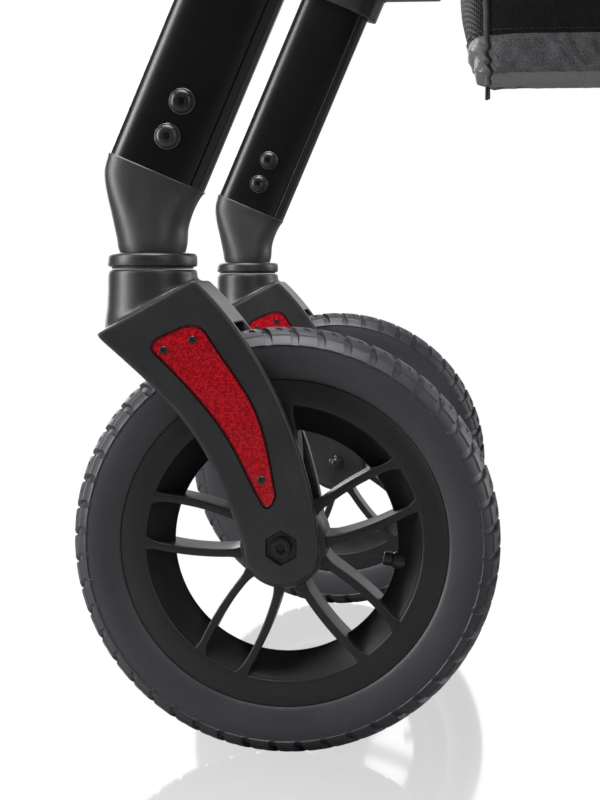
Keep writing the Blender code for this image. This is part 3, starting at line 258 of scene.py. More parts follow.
def new_group(name, inputs, outputs, kind="Shader"):
    """An empty group of shader or geometry nodes, with named sockets."""
    tree = bpy.data.node_groups.new(name, kind + "NodeTree")
    for socket, holds, value in inputs:
        made = tree.interface.new_socket(socket, in_out="INPUT", socket_type="NodeSocket" + holds)
        if value is not None:
            made.default_value = value
    for socket, holds in outputs:
        tree.interface.new_socket(socket, in_out="OUTPUT", socket_type="NodeSocket" + holds)
    return tree, add_node(tree, "NodeGroupInput")


def round_axle_tree(name, material, copies_by_default):
    """A Geometry Nodes tree that repeats a shape round the X axis and welds the copies' edges."""
    tree, given = new_group(
        name,
        (("Shape", "Geometry", None), ("Copies", "Int", copies_by_default),
         ("First Angle", "Float", 0.0), ("Weld", "Float", 0.00002)),
        (("Shape", "Geometry"),), "Geometry")
    points = add_node(tree, "GeometryNodePoints", {"Count": given.outputs["Copies"]})
    number = add_node(tree, "GeometryNodeInputIndex")
    share = maths(tree, "DIVIDE", number, given.outputs["Copies"])
    angle = maths(tree, "MULTIPLY_ADD", share, 2 * math.pi, given.outputs["First Angle"])
    turned_by = add_node(tree, "ShaderNodeCombineXYZ", {"X": angle})
    copies = add_node(tree, "GeometryNodeInstanceOnPoints", {
        "Points": points, "Instance": given.outputs["Shape"], "Rotation": turned_by})
    real = add_node(tree, "GeometryNodeRealizeInstances", {"Geometry": copies})
    welded = add_node(tree, "GeometryNodeMergeByDistance", {
        "Geometry": real, "Distance": given.outputs["Weld"]})
    done = add_node(tree, "GeometryNodeSetMaterial", {"Geometry": welded, "Material": material})
    add_node(tree, "NodeGroupOutput", {0: done})
    return tree


def as_tool(shape):
    """An unseen object that holds a shape while modifiers work on it."""
    mesh = bpy.data.meshes.new("tool")
    shape.to_mesh(mesh)
    tool = bpy.data.objects.new("tool", mesh)
    bpy.context.scene.collection.objects.link(tool)
    return tool


def result_of(base, tools=()):
    """What an object's modifiers make, as a plain bmesh. It removes the object and its tools."""
    bpy.context.view_layer.update()
    graph = bpy.context.evaluated_depsgraph_get()
    made = bpy.data.meshes.new_from_object(base.evaluated_get(graph))
    for tool in (base, *tools):
        tool.modifiers.clear()
        bpy.data.objects.remove(tool, do_unlink=True)
    result = bmesh.new()
    result.from_mesh(made)
    bpy.data.meshes.remove(made)
    return result


def grown_by_nodes(shape, tree, **sizes):
    """Runs a Geometry Nodes tree on a shape. sizes are the tree's inputs, by name."""
    seed = as_tool(shape)
    modifier = seed.modifiers.new("nodes", "NODES")
    modifier.node_group = tree
    for item in tree.interface.items_tree:
        key = item.name.lower().replace(" ", "_")
        if item.in_out == "INPUT" and key in sizes:
            modifier[item.identifier] = sizes[key]
    return result_of(seed)


def moulded_grain_group():
    """The fine speckle of a moulded or coated surface: a colour that varies, roughness and height."""
    tree, given = new_group(
        "moulded_grain",
        (("Dark", "Color", (0.01, 0.01, 0.01, 1)), ("Light", "Color", (0.03, 0.03, 0.03, 1)),
         ("Grains per Metre", "Float", 1500), ("Clouds per Metre", "Float", 30),
         ("Roughness", "Float", 0.5), ("Roughness Spread", "Float", 0.15)),
        (("Colour", "Color"), ("Roughness", "Float"), ("Height", "Float")),
    )
    place = add_node(tree, "ShaderNodeTexCoord")
    fine = add_node(tree, "ShaderNodeTexNoise", {
        "Vector": place.outputs["Object"], "Scale": given.outputs["Grains per Metre"],
        "Detail": 3.0, "Roughness": 0.62})
    clouds = add_node(tree, "ShaderNodeTexNoise", {
        "Vector": place.outputs["Object"], "Scale": given.outputs["Clouds per Metre"],
        "Detail": 4.0, "Roughness": 0.55})
    speckle = remapped(tree, fine, 0.38, 0.66)
    shade = remapped(tree, clouds, 0.3, 0.7, -0.22, 0.22)
    amount = maths(tree, "ADD", speckle, shade, use_clamp=True)
    colour = mix_of(tree, "RGBA", amount, given.outputs["Dark"], given.outputs["Light"])
    centred = maths(tree, "SUBTRACT", clouds, 0.5)
    rough = maths(
        tree, "MULTIPLY_ADD", centred, given.outputs["Roughness Spread"], given.outputs["Roughness"])
    add_node(tree, "NodeGroupOutput", {"Colour": colour, "Roughness": rough, "Height": fine})
    return tree


def dust_group():
    """Specks of lint and a thin film of dust that lies on upward faces, added over a colour."""
    tree, given = new_group(
        "settled_dust",
        (("Colour", "Color", (0.02, 0.02, 0.02, 1)), ("Dust", "Color", (0.30, 0.30, 0.31, 1)),
         ("Film", "Float", 0.04), ("Speck Size", "Float", 0.035), ("Specks per Metre", "Float", 110)),
        (("Colour", "Color"), ("Mask", "Float")),
    )
    place = add_node(tree, "ShaderNodeTexCoord")
    cells = add_node(tree, "ShaderNodeTexVoronoi", {
        "Vector": place.outputs["Object"], "Scale": given.outputs["Specks per Metre"],
        "Randomness": 1.0})
    speck = maths(tree, "LESS_THAN", cells.outputs["Distance"], given.outputs["Speck Size"])
    geometry = add_node(tree, "ShaderNodeNewGeometry")
    facing = add_node(tree, "ShaderNodeSeparateXYZ", {0: geometry.outputs["Normal"]})
    patches = add_node(tree, "ShaderNodeTexNoise", {
        "Vector": place.outputs["Object"], "Scale": 45.0, "Detail": 5.0, "Roughness": 0.65})
    upward = remapped(tree, facing.outputs["Z"], -0.2, 1.0, 0.25, 1.0)
    film = maths(tree, "MULTIPLY", upward, patches)
    film_amount = maths(tree, "MULTIPLY", film, given.outputs["Film"])
    speck_amount = maths(tree, "MULTIPLY", speck, 0.55)
    mask = maths(tree, "ADD", film_amount, speck_amount, use_clamp=True)
    colour = mix_of(tree, "RGBA", mask, given.outputs["Colour"], given.outputs["Dust"])
    add_node(tree, "NodeGroupOutput", {"Colour": colour, "Mask": mask})
    return tree


GRAIN = moulded_grain_group()
DUST = dust_group()


def fill_group(tree, group, values):
    """Places a group in a material and sets its inputs by name."""
    made = tree.nodes.new("ShaderNodeGroup")
    made.node_tree = group
    feed(tree, made, values)
    return made


def grey(value, warm=0.0, cool=0.0):
    return (value * (1 + warm), value, value * (1 + cool), 1)


def new_material(name):
    """A new material, its nodes and its shader."""
    made = bpy.data.materials.new(name)
    made.use_nodes = True
    return made, made.node_tree, made.node_tree.nodes["Principled BSDF"]


def shader_sockets(values):
    """Values by argument name, such as Coat_Weight, made values by socket name."""
    return {key.replace("_", " "): value for key, value in values.items()}


def coated_material(name, dark, light, grains, roughness, spread, bump_mm, **more):
    """A grained surface under a little dust. more holds the dust's values and the shader's own."""
    made, tree, shader = new_material(name)
    grain = fill_group(tree, GRAIN, {
        "Dark": dark, "Light": light, "Grains per Metre": grains, "Roughness": roughness,
        "Roughness Spread": spread, "Clouds per Metre": more.pop("clouds", 30)})
    dust = fill_group(tree, DUST, {
        "Colour": grain.outputs["Colour"], "Film": more.pop("film", 0.03),
        "Speck Size": more.pop("speck_size", 0.03), "Specks per Metre": more.pop("specks", 110)})
    bump = add_node(tree, "ShaderNodeBump", {
        "Strength": 1.0, "Distance": bump_mm / 1000, "Height": grain.outputs["Height"]})
    feed(tree, shader, {
        "Base Color": dust.outputs["Colour"], "Roughness": grain.outputs["Roughness"], "Normal": bump,
        **shader_sockets(more)})
    return made


tyre_rubber = coated_material(
    "tyre_rubber", grey(0.026, cool=0.20), grey(0.038, cool=0.18), 900, 0.46, 0.20, 0.05,
    film=0.05, speck_size=0.028, specks=120, clouds=22)
tree = tyre_rubber.node_tree
rings = add_node(tree, "ShaderNodeAttribute", attribute_name="over_crown")
worn_tread = remapped(tree, rings.outputs["Fac"], 0.15, 0.30)
shader = tree.nodes["Principled BSDF"]
clean = shader.inputs["Base Color"].links[0].from_socket
worn = mix_of(tree, "RGBA", worn_tread, clean, (0.78, 0.80, 0.84, 1), blend_type="MULTIPLY")
feed(tree, shader, {"Base Color": worn})


def finished(name, shape, body, material, stands_for=(), sharp=35):
    """Makes a piece of a shape, shades it, and puts it on its body in place of its frame nodes."""
    mesh = bpy.data.meshes.new(name)
    shape.to_mesh(mesh)
    mesh.shade_smooth()
    mesh.set_sharp_from_angle(angle=math.radians(sharp))
    mesh.materials.clear()
    mesh.materials.append(material)
    for face in mesh.polygons:
        face.material_index = 0
    piece = bpy.data.objects.new(name, mesh)
    bpy.context.scene.collection.objects.link(piece)
    if body:
        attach(piece, body)
    if stands_for:
        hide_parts(*stands_for)
    return piece


def mirrored(shape):
    """Turns a shape into its mirror across the middle, with its faces still pointing outwards."""
    shape.transform(Matrix.Diagonal((-1, 1, 1, 1)))
    bmesh.ops.reverse_faces(shape, faces=shape.faces)


def both_sides(name, shape, body, material, stands_for=(), sharp=35):
    """The piece on the left, where it is drawn, and its mirror on the right."""
    made = []
    for side, word in ((1, "left"), (-1, "right")):
        copy = shape.copy()
        if side < 0:
            mirrored(copy)
        nodes = [f"{node}_{word}" for node in stands_for]
        made.append(finished(f"{name}_{word}", copy, f"{body}_{word}", material, nodes, sharp))
        copy.free()
    return made


def middle(node):
    low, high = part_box(node)
    return (low + high) / 2


def moved(shape, place):
    copy = shape.copy()
    copy.transform(Matrix.Translation(place))
    return copy


FRONT_AXLE, REAR_AXLE = middle("front_tyre_left"), middle("rear_tyre_left")
FRONT_AXLE.z = REAR_AXLE.z = TYRE_RADIUS
tyre_tree = round_axle_tree("tyre_round", tyre_rubber, TREAD_PITCHES)
tyre = grown_by_nodes(tyre_pitch(), tyre_tree, copies=TREAD_PITCHES)
for end, axle in (("front", FRONT_AXLE), ("rear", REAR_AXLE)):
    both_sides(f"{end}_tyre_rubber", moved(tyre, axle), f"{end}_wheel", tyre_rubber,
               [f"{end}_tyre"], sharp=32)


# ---------------------------------------------------------------- rims
# One moulding of glass-filled nylon for each wheel: a flat flange against the tyre, a waisted barrel
# behind it, and five pairs of bowed blades that run out from the hub to the flange.

RIM_LINE = (  # half a section in millimetres: radius, across
    (104.5, 0.0), (104.5, 15.0), (109.9, 17.5), (110.5, 18.2), (110.5, 19.0), (109.8, 19.4),
    (95.0, 19.4), (93.9, 19.2), (93.1, 18.6), (92.6, 17.6), (91.6, 16.6), (89.5, 14.2), (86.0, 10.2),
    (82.6, 6.8), (79.5, 3.9), (77.4, 1.9), (76.3, 0.9), (76.0, 0.0))
HUB_LINE = (  # its outside, from the end boss to the middle
    (4.5, 27.8), (11.6, 27.8), (12.6, 27.2), (13.0, 25.8), (26.8, 25.4), (28.3, 24.8), (29.0, 23.4),
    (29.0, 0.0))
BLADE_ROOT, BLADE_END = 0.0250, 0.0945
BLADE_THICKNESS, BLADE_HALF_DEPTH = 0.0055, 0.0190
FIRST_PAIR = math.radians(26.4)
VALVE_ANGLE = math.radians(-9.6)


def bridged(shape, rows, closed=False):
    """Lays faces between rows of points that each run right round. closed joins last to first."""
    for one, two in zip(rows, rows[1:] + rows[:1] if closed else rows[1:]):
        for i in range(len(one)):
            j = (i + 1) % len(one)
            shape.faces.new((one[i], one[j], two[j], two[i]))


def capped(shape, rows):
    bridged(shape, rows)
    shape.faces.new(rows[0])
    shape.faces.new(rows[-1])
    return outward(shape)


def points_of(shape, rings):
    return [[shape.verts.new(point) for point in ring] for ring in rings]


def ring_of(rings):
    """A solid whose skin runs from ring to ring, and from the last back to the first."""
    shape = bmesh.new()
    bridged(shape, points_of(shape, rings), closed=True)
    return outward(shape)


def spun(line, steps, axis="x"):
    """A closed line of (radius, along) in millimetres turned round an axis, as a closed ring."""
    rings = []
    for radius, along in line:
        ring = []
        for step in range(steps):
            angle = 2 * math.pi * step / steps
            side, rise = radius / 1000 * math.cos(angle), radius / 1000 * math.sin(angle)
            ring.append((along / 1000, side, rise) if axis == "x" else (side, rise, along / 1000))
        rings.append(ring)
    return ring_of(rings)


def outward(shape):
    """Turns the faces of a closed shape so that they all point out of it."""
    bmesh.ops.recalc_face_normals(shape, faces=shape.faces)
    if shape.calc_volume(signed=True) < 0:
        bmesh.ops.reverse_faces(shape, faces=shape.faces)
    return shape


def skinned(rings):
    """A solid whose skin runs from ring to ring, with a flat cap at each end."""
    shape = bmesh.new()
    return capped(shape, points_of(shape, rings))


def gathered(*shapes):
    """Several shapes as one mesh."""
    whole = bmesh.new()
    for shape in shapes:
        mesh = bpy.data.meshes.new("part")
        shape.to_mesh(mesh)
        whole.from_mesh(mesh)
        bpy.data.meshes.remove(mesh)
        shape.free()
    return whole


def soft_rectangle(across, along, corner, per_corner=4):
    """A rectangle with round corners, centred, as (across, along) points."""
    points = []
    for turn, (sx, sy) in enumerate(((1, 1), (-1, 1), (-1, -1), (1, -1))):
        for step in range(per_corner + 1):
            angle = math.pi / 2 * (turn + step / per_corner)
            points.append((sx * (across / 2 - corner) + corner * math.cos(angle),
                           sy * (along / 2 - corner) + corner * math.sin(angle)))
    return points


def rim_blade(hand):
    """One blade of a pair. It bows away from its twin, and flares at the hub and at the rim."""
    rings = []
    for step in range(29):
        t = step / 28
        radius = BLADE_ROOT + (BLADE_END - BLADE_ROOT) * t
        offset = hand * (0.0102 + 0.0055 * t + 0.013 * t * (1 - t))
        flare = 0.0052 * max(0.0, 1 - t / 0.16) ** 2 + 0.0066 * max(0.0, (t - 0.84) / 0.16) ** 2
        depth = BLADE_HALF_DEPTH + 0.0003 - 0.0016 * math.sin(math.pi * t) ** 2
        section = soft_rectangle(BLADE_THICKNESS + flare, 2 * depth, 0.0011)
        rings.append([(along, radius, offset + across) for across, along in section])
    return skinned(rings)


def symmetric(line):
    """Half a section and its mirror. A point on the middle line is used once."""
    return list(line) + [(radius, -along) for radius, along in reversed(line) if along > 0]


rim_plastic = coated_material(
    "rim_plastic", grey(0.0030, cool=0.10), grey(0.0150, cool=0.10), 2300, 0.42, 0.22, 0.05,
    film=0.025, speck_size=0.024, specks=150, clouds=26, Coat_Weight=0.10, Coat_Roughness=0.25,
    Specular_IOR_Level=0.40)
blade_tree = round_axle_tree("blade_round", rim_plastic, 5)
blades = grown_by_nodes(gathered(rim_blade(1), rim_blade(-1)), blade_tree, copies=5,
                        first_angle=FIRST_PAIR)
rim_ring = spun(symmetric(RIM_LINE), 144)
hub = spun(symmetric(HUB_LINE), 72)
wheel_moulding = gathered(rim_ring, hub, blades)
for end, axle in (("front", FRONT_AXLE), ("rear", REAR_AXLE)):
    both_sides(f"{end}_rim_moulding", moved(wheel_moulding, axle), f"{end}_wheel", rim_plastic,
               [f"{end}_rim"], sharp=30)


# ---------------------------------------------------------------- valves
# A car-type valve on each wheel, with a rubber base that swells against the barrel and a ribbed cap
# that points at the axle.

VALVE_LINE = (  # radius from the valve's own line, and place from the axle, in millimetres
    (2.0, 84.0), (6.4, 84.0), (6.4, 78.5), (6.2, 76.4), (5.6, 74.2), (4.4, 73.5), (4.2, 73.3),
    (4.9, 73.1), (5.0, 72.4), (5.0, 68.6), (4.6, 67.7), (3.4, 67.3), (0.05, 67.3))
VALVE_RIB = 0.22  # how deep the cap's ribs are cut, in millimetres


def valve_shape():
    rings = []
    for radius, out in VALVE_LINE:
        ribbed = VALVE_RIB if 68.5 < out < 72.6 else 0.0
        ring = []
        for step in range(36):
            angle = 2 * math.pi * step / 36
            reach = (radius - (ribbed if step % 2 else 0)) / 1000
            ring.append((reach * math.cos(angle), out / 1000, reach * math.sin(angle)))
        rings.append(ring)
    shape = skinned(rings)
    shape.transform(Matrix.Rotation(VALVE_ANGLE, 4, "X"))
    return shape


valve_rubber = coated_material(
    "valve_rubber", grey(0.010), grey(0.026), 1500, 0.42, 0.2, 0.04, film=0.03, specks=200)
both_sides("front_valve_cap", moved(valve_shape(), FRONT_AXLE), "front_wheel", valve_rubber,
           ["front_valve"], sharp=28)
both_sides("rear_valve_cap", moved(valve_shape(), REAR_AXLE), "rear_wheel", valve_rubber,
           sharp=28)


# ---------------------------------------------------------------- axles
# An M8 through bolt of blackened steel in each wheel: a socket head sunk in the outer arm, and a
# domed nut on the inner arm.

AXLE_HEAD, SOCKET_FLATS, NUT_FLATS = 0.0069, 0.0030, 0.0065
SHANK, NUT_FACE = 0.004, -0.0378


def six_sided(half_flats, steps=24):
    """A hexagon's outline as evenly turned (across, up) points."""
    points = []
    for step in range(steps):
        angle = 2 * math.pi * step / steps
        off = (angle + math.pi / 6) % (math.pi / 3) - math.pi / 6
        reach = half_flats / math.cos(off)
        points.append((reach * math.cos(angle), reach * math.sin(angle)))
    return points


def round_line(radius, steps=24):
    return [(radius * math.cos(2 * math.pi * i / steps), radius * math.sin(2 * math.pi * i / steps))
            for i in range(steps)]


def across_x(rings, centre=Vector((0, 0, 0))):
    """A solid through rings of (y, z) points, each at its own place along X."""
    return skinned([[centre + Vector((x, y, z)) for y, z in ring] for x, ring in rings])


def axle_shape(head_top):
    return across_x([
        (head_top - 0.0028, six_sided(SOCKET_FLATS)), (head_top - 0.0002, six_sided(SOCKET_FLATS)),
        (head_top, six_sided(SOCKET_FLATS + 0.0003)), (head_top, round_line(AXLE_HEAD - 0.0010)),
        (head_top - 0.0002, round_line(AXLE_HEAD - 0.0004)), (head_top - 0.0009, round_line(AXLE_HEAD)),
        (head_top - 0.0050, round_line(AXLE_HEAD)), (head_top - 0.0050, round_line(SHANK)),
        (NUT_FACE, round_line(SHANK)), (NUT_FACE, round_line(0.0064)),
        (NUT_FACE - 0.0006, six_sided(NUT_FLATS)),
        (NUT_FACE - 0.0058, six_sided(NUT_FLATS)), (NUT_FACE - 0.0066, round_line(0.0062)),
        (NUT_FACE - 0.0068, round_line(0.0053)), (NUT_FACE - 0.0084, round_line(0.0049)),
        (NUT_FACE - 0.0097, round_line(0.0038)), (NUT_FACE - 0.0104, round_line(0.0020))])


black_steel = coated_material(
    "black_steel", grey(0.020, cool=0.04), grey(0.060, cool=0.04), 1900, 0.34, 0.16, 0.02,
    film=0.03, specks=90, Metallic=0.85)
for end, axle in (("front", FRONT_AXLE), ("rear", REAR_AXLE)):
    head_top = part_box(f"{end}_axle_left")[1].x - axle.x
    both_sides(f"{end}_axle_bolt", moved(axle_shape(head_top), axle),
               {"front": "caster", "rear": "frame"}[end], black_steel, [f"{end}_axle"],
               sharp=35)


# ---------------------------------------------------------------- swivelling front forks
# One nylon moulding each: a round crown under the bearing, shoulders that sweep back over the tyre,
# and an arm down each side to the axle. Their edges are rounded, and each arm's face has a shallow
# pocket for a reflector and a hexagonal one for the axle's head.

ARM_IN, ARM_OUT = 0.0285, 0.0375
EYE = 0.0255
CROWN_RADIUS, CROWN_TOP, KINGPIN_Y = 0.0304, 0.3297, FRONT_AXLE.y - 0.091
LENS_DEEP = 0.0022
FORK_VOXEL, FORK_ROUNDS = 0.00095, 40  # how fine its skin is, and how far its edges are rounded
TYRE_ROOM = 0.1517  # radius of the space between the arms that the tyre turns in
KINGPIN = Vector((FRONT_AXLE.x, KINGPIN_Y, 0))


def curve(start, first, second, end, steps):
    """Points on a cubic curve with two handles."""
    points = []
    for step in range(steps + 1):
        t = step / steps
        shares = ((1 - t) ** 3, 3 * t * (1 - t) ** 2, 3 * t * t * (1 - t), t ** 3)
        points.append(tuple(sum(w * p[i] for w, p in zip(shares, (start, first, second, end)))
                            for i in (0, 1)))
    return points


def bow(centre, radius, start, end, steps):
    angles = [math.radians(start + (end - start) * step / steps) for step in range(steps + 1)]
    return [(centre[0] + radius * math.cos(a), centre[1] + radius * math.sin(a)) for a in angles]


def widened(outline, margin):
    """The outline moved outwards by a margin."""
    area = sum(a[0] * b[1] - b[0] * a[1] for a, b in zip(outline, outline[1:] + outline[:1]))
    turn = 1 if area > 0 else -1
    moved_points = []
    for i, (x, y) in enumerate(outline):
        before, after = outline[i - 1], outline[(i + 1) % len(outline)]
        along = Vector((after[0] - before[0], after[1] - before[1])).normalized()
        moved_points.append((x + turn * along.y * margin, y - turn * along.x * margin))
    return moved_points


def arm_line():
    front = curve((-0.121, 0.138), (-0.066, 0.090), (-0.050, 0.075), (-EYE, 0), 30)
    rear = curve((EYE, 0), (0.0185, 0.081), (-0.023, 0.1465), (-0.058, 0.1775), 30)
    return [(-0.123, 0.1415)] + front[:-1] + bow((0, 0), EYE, 180, 360, 32) + rear[1:]


def lens_line():
    front = curve((-0.0857, 0.1299), (-0.027, 0.074), (-0.0305, 0.058), (-0.0125, 0.0285), 26)
    rear = curve((-0.0033, 0.0343), (-0.014, 0.101), (-0.018, 0.0935), (-0.0505, 0.1438), 26)
    head = [(-0.0540, 0.1462), (-0.0580, 0.1472), (-0.0620, 0.1471), (-0.0657, 0.1461),
            (-0.0811, 0.1392), (-0.0845, 0.1369), (-0.0860, 0.1338), (-0.0863, 0.1315)]
    return front + [(-0.0110, 0.0270), (-0.0085, 0.0265), (-0.0058, 0.0283)] + rear + head


def worked(shape, steps):
    """Runs modifiers on a shape, each given as (type, settings)."""
    base = as_tool(shape)
    tools = []
    for kind, settings in steps:
        modifier = base.modifiers.new(kind.lower(), kind)
        for key, value in settings.items():
            if key == "object":
                value = as_tool(value)
                tools.append(value)
            setattr(modifier, key, value)
    return result_of(base, tools)


def round_post(centre, radii, steps=64):
    """A post round an upright line, through (height, radius) places."""
    rings = []
    for height, radius in radii:
        rings.append([centre + Vector((x, y, height)) for x, y in round_line(radius, steps)])
    return skinned(rings)


def fork_shape():
    body = across_x([(-ARM_OUT, arm_line()), (ARM_OUT, arm_line())], FRONT_AXLE)
    crown = round_post(KINGPIN, ((0.2880, CROWN_RADIUS + 0.0026), (0.2960, CROWN_RADIUS + 0.0018),
                                 (0.3060, CROWN_RADIUS + 0.0006), (0.3180, CROWN_RADIUS),
                                 (CROWN_TOP, CROWN_RADIUS)))
    room = across_x([(x, round_line(TYRE_ROOM, 160)) for x in (-ARM_IN, ARM_IN)], FRONT_AXLE)
    rough = worked(body, [
        ("BOOLEAN", {"operation": "UNION", "solver": "MANIFOLD", "object": crown}),
        ("BOOLEAN", {"operation": "DIFFERENCE", "solver": "MANIFOLD", "object": room}),
        ("REMESH", {"mode": "VOXEL", "voxel_size": FORK_VOXEL}),
        ("SMOOTH", {"factor": 0.5, "iterations": FORK_ROUNDS}),
    ])
    recess = widened(lens_line(), 0.0005)
    outside, inside = (
        across_x([(side * x, recess) for x in (ARM_OUT - LENS_DEEP, ARM_OUT + 0.004)], FRONT_AXLE)
        for side in (1, -1))
    hexagon = across_x([(ARM_OUT - 0.0040, six_sided(0.0097)), (ARM_OUT - 0.0008, six_sided(0.0099)),
                        (ARM_OUT + 0.0005, six_sided(0.0108))], FRONT_AXLE)
    cuts = [("BOOLEAN", {"operation": "DIFFERENCE", "solver": "MANIFOLD", "object": cut})
            for cut in (outside, inside, hexagon)]
    return worked(rough, cuts)


fork_plastic = coated_material(
    "fork_plastic", grey(0.0060, cool=0.12), grey(0.0230, cool=0.12), 1700, 0.40, 0.20, 0.07,
    film=0.03, speck_size=0.026, specks=150, clouds=28, Coat_Weight=0.12, Coat_Roughness=0.30)
both_sides("fork_moulding", fork_shape(), "caster", fork_plastic, ["caster_fork"],
           sharp=50)


# ---------------------------------------------------------------- reflectors
# A red acrylic lens in each face of the fork, moulded with rows of little six-sided prisms, with a
# plain border, and held by three black pins.

PRISM = 0.00145  # across one cell
BORDER_RED = (0.035, 0.001, 0.002, 1)
LENS_PINS = ((-0.0777, 0.1306), (-0.0584, 0.1375), (-0.0129, 0.0451))


def lens_shape(side):
    shape = bmesh.new()
    prism = shape.verts.layers.float.new("prisms")
    face = ARM_OUT + 0.0004
    rows = []
    for inset, x, share in ((0.0, ARM_OUT - LENS_DEEP + 0.0003, 0.0), (0.0, face - 0.0006, 0.0),
                            (0.0005, face, 0.0), (0.0013, face, 0.0), (0.0016, face - 0.0003, 1.0)):
        row = []
        for y, z in widened(lens_line(), -inset):
            point = shape.verts.new(FRONT_AXLE + Vector((side * x, y, z)))
            point[prism] = share
            row.append(point)
        rows.append(row)
    capped(shape, rows)
    bmesh.ops.triangulate(shape, faces=[face for face in shape.faces if len(face.verts) > 4])
    return shape


def prism_material():
    """Six-sided cells, each lit a little differently, inside a plain dark border. The cells' light is
    painted reflection with painted shade at each cell's edge, and the lens is given a faint painted
    glow.
    """
    made, tree, shader = new_material("reflector_red")
    place = add_node(tree, "ShaderNodeTexCoord")
    parts = add_node(tree, "ShaderNodeSeparateXYZ", {0: place.outputs["Object"]})
    flat = add_node(tree, "ShaderNodeCombineXYZ", {"X": parts.outputs["Y"], "Y": parts.outputs["Z"]})
    scaled = vector_maths(tree, "MULTIPLY_ADD", flat, (1 / PRISM,) * 3, (4000.0, 4000.0, 0.0))
    step = (1.0, math.sqrt(3), 1.0)
    half = (0.5, math.sqrt(3) / 2, 0.0)
    near = []
    for shift in ((0.0, 0.0, 0.0), half):
        shifted = vector_maths(tree, "SUBTRACT", scaled, shift)
        wrapped = vector_maths(tree, "MODULO", shifted, step)
        near.append(vector_maths(tree, "SUBTRACT", wrapped, half))
    lengths = [vector_maths(tree, "LENGTH", one) for one in near]
    nearer = maths(tree, "LESS_THAN", lengths[1].outputs["Value"], lengths[0].outputs["Value"])
    chosen = mix_of(tree, "VECTOR", nearer, *near)
    cell = vector_maths(tree, "SUBTRACT", scaled, chosen)
    snapped = vector_maths(tree, "SNAP", cell, (0.25, 0.25, 1.0))
    random = add_node(tree, "ShaderNodeTexWhiteNoise", {"Vector": snapped}, noise_dimensions="2D")
    edge = vector_maths(tree, "LENGTH", chosen)
    rim_shade = remapped(tree, edge.outputs["Value"], 0.28, 0.56, 1.0, 0.22)
    glow = remapped(tree, random.outputs["Value"], 0.0, 1.0, 0.35, 1.0)
    shine = maths(tree, "MULTIPLY", glow, rim_shade)
    ramp = add_node(tree, "ShaderNodeValToRGB", {"Fac": shine})
    ramp.color_ramp.elements[0].color = (0.080, 0.0006, 0.0024, 1)
    ramp.color_ramp.elements[1].color = (0.48, 0.008, 0.014, 1)
    middle_stop = ramp.color_ramp.elements.new(0.45)
    middle_stop.color = (0.22, 0.0012, 0.0060, 1)
    border = add_node(tree, "ShaderNodeAttribute", attribute_name="prisms")
    within = maths(tree, "GREATER_THAN", border.outputs["Fac"], 0.5)
    colour = mix_of(tree, "RGBA", within, BORDER_RED, ramp)
    bump = add_node(tree, "ShaderNodeBump", {"Strength": 0.5, "Distance": 0.0002, "Height": rim_shade})
    # The colour also feeds the emission: a faint painted glow over the lens, which is no lamp.
    feed(tree, shader, {
        "Base Color": colour, "Normal": bump, "Emission Color": colour, "Emission Strength": 0.35,
        "Roughness": 0.30, "Specular IOR Level": 0.15, "Coat Weight": 0.30, "Coat Roughness": 0.06})
    return made


def pin_shape(side):
    pins = []
    for y, z in LENS_PINS:
        base = FRONT_AXLE + Vector((0, y, z))
        heights = ((ARM_OUT - 0.0010, 0.0027), (ARM_OUT + 0.0006, 0.0027), (ARM_OUT + 0.0009, 0.0024),
                   (ARM_OUT + 0.0010, 0.0012), (ARM_OUT + 0.0005, 0.0009))
        pins.append(across_x([(side * x, round_line(radius, 20)) for x, radius in heights], base))
    return gathered(*pins)


reflector_red = prism_material()
pin_black = coated_material("pin_black", grey(0.008), grey(0.020), 1800, 0.32, 0.15, 0.02, specks=60)
for side, word in ((1, "outer"), (-1, "inner")):
    both_sides(f"lens_{word}", lens_shape(side), "caster", reflector_red,
               [f"reflector_{word}"], sharp=40)
    both_sides(f"lens_pins_{word}", pin_shape(side), "caster", pin_black, sharp=35)


# ---------------------------------------------------------------- swivel covers
# A nylon ring that covers each swivel's lower bearing. It stands a little proud of the crown, with a
# dark gap under it.

COVER_LINE = ((6.5, 0.2), (27.6, 0.2), (27.8, 1.4), (29.3, 1.6), (30.1, 2.3), (30.3, 3.4), (30.3, 7.6),
              (30.1, 8.8), (29.4, 9.8), (28.2, 10.4), (24.0, 10.8), (6.5, 10.9))
cover = spun(COVER_LINE, 96, axis="z")
both_sides("swivel_cover", moved(cover, KINGPIN + Vector((0, 0, CROWN_TOP + 0.0003))), "frame",
           fork_plastic, ["bearing_ring"], sharp=35)


# ---------------------------------------------------------------- elbows
# A nylon moulding at the foot of each leg. It is round where it turns on the swivel's bearing, swells
# forwards, and turns into the tube's oval, which it overlaps by a small step.

LEG_RAKE = math.radians(23.2)
LEG_UP = Vector((0, math.sin(LEG_RAKE), math.cos(LEG_RAKE)))
LEG_BACK = Vector((0, math.cos(LEG_RAKE), -math.sin(LEG_RAKE)))
LEG_FOOT = Vector((FRONT_AXLE.x, KINGPIN_Y + 0.0034, 0.395))
LEG_WIDTH, LEG_THICKNESS, LEG_SQUARE = 0.0685, 0.034, 2.8
OUTWARDS = Vector((1, 0, 0))
ELBOW_PLACES = (  # front and rear edge as (y, z), then thickness and squareness
    ((-0.3380, 0.3412), (-0.2938, 0.3412), 0.0455, 2.0),
    ((-0.3394, 0.3452), (-0.2926, 0.3456), 0.0462, 2.0),
    ((-0.3404, 0.3520), (-0.2921, 0.3500), 0.0460, 2.05),
    ((-0.3438, 0.3680), (-0.2914, 0.3585), 0.0440, 2.2),
    ((-0.3474, 0.3850), (-0.2883, 0.3685), 0.0405, 2.5),
    ((-0.3482, 0.3965), (-0.2843, 0.3765), 0.0372, 2.7),
    ((-0.3462, 0.4052), (-0.2812, 0.3805), 0.0362, 2.8),
    ((-0.3454, 0.4086), (-0.2800, 0.3808), 0.0360, 2.8))


def on_leg(along, back=0.0):
    """A point on the leg: along it from the elbow's seam, and behind its middle."""
    return LEG_FOOT + LEG_UP * along + LEG_BACK * back


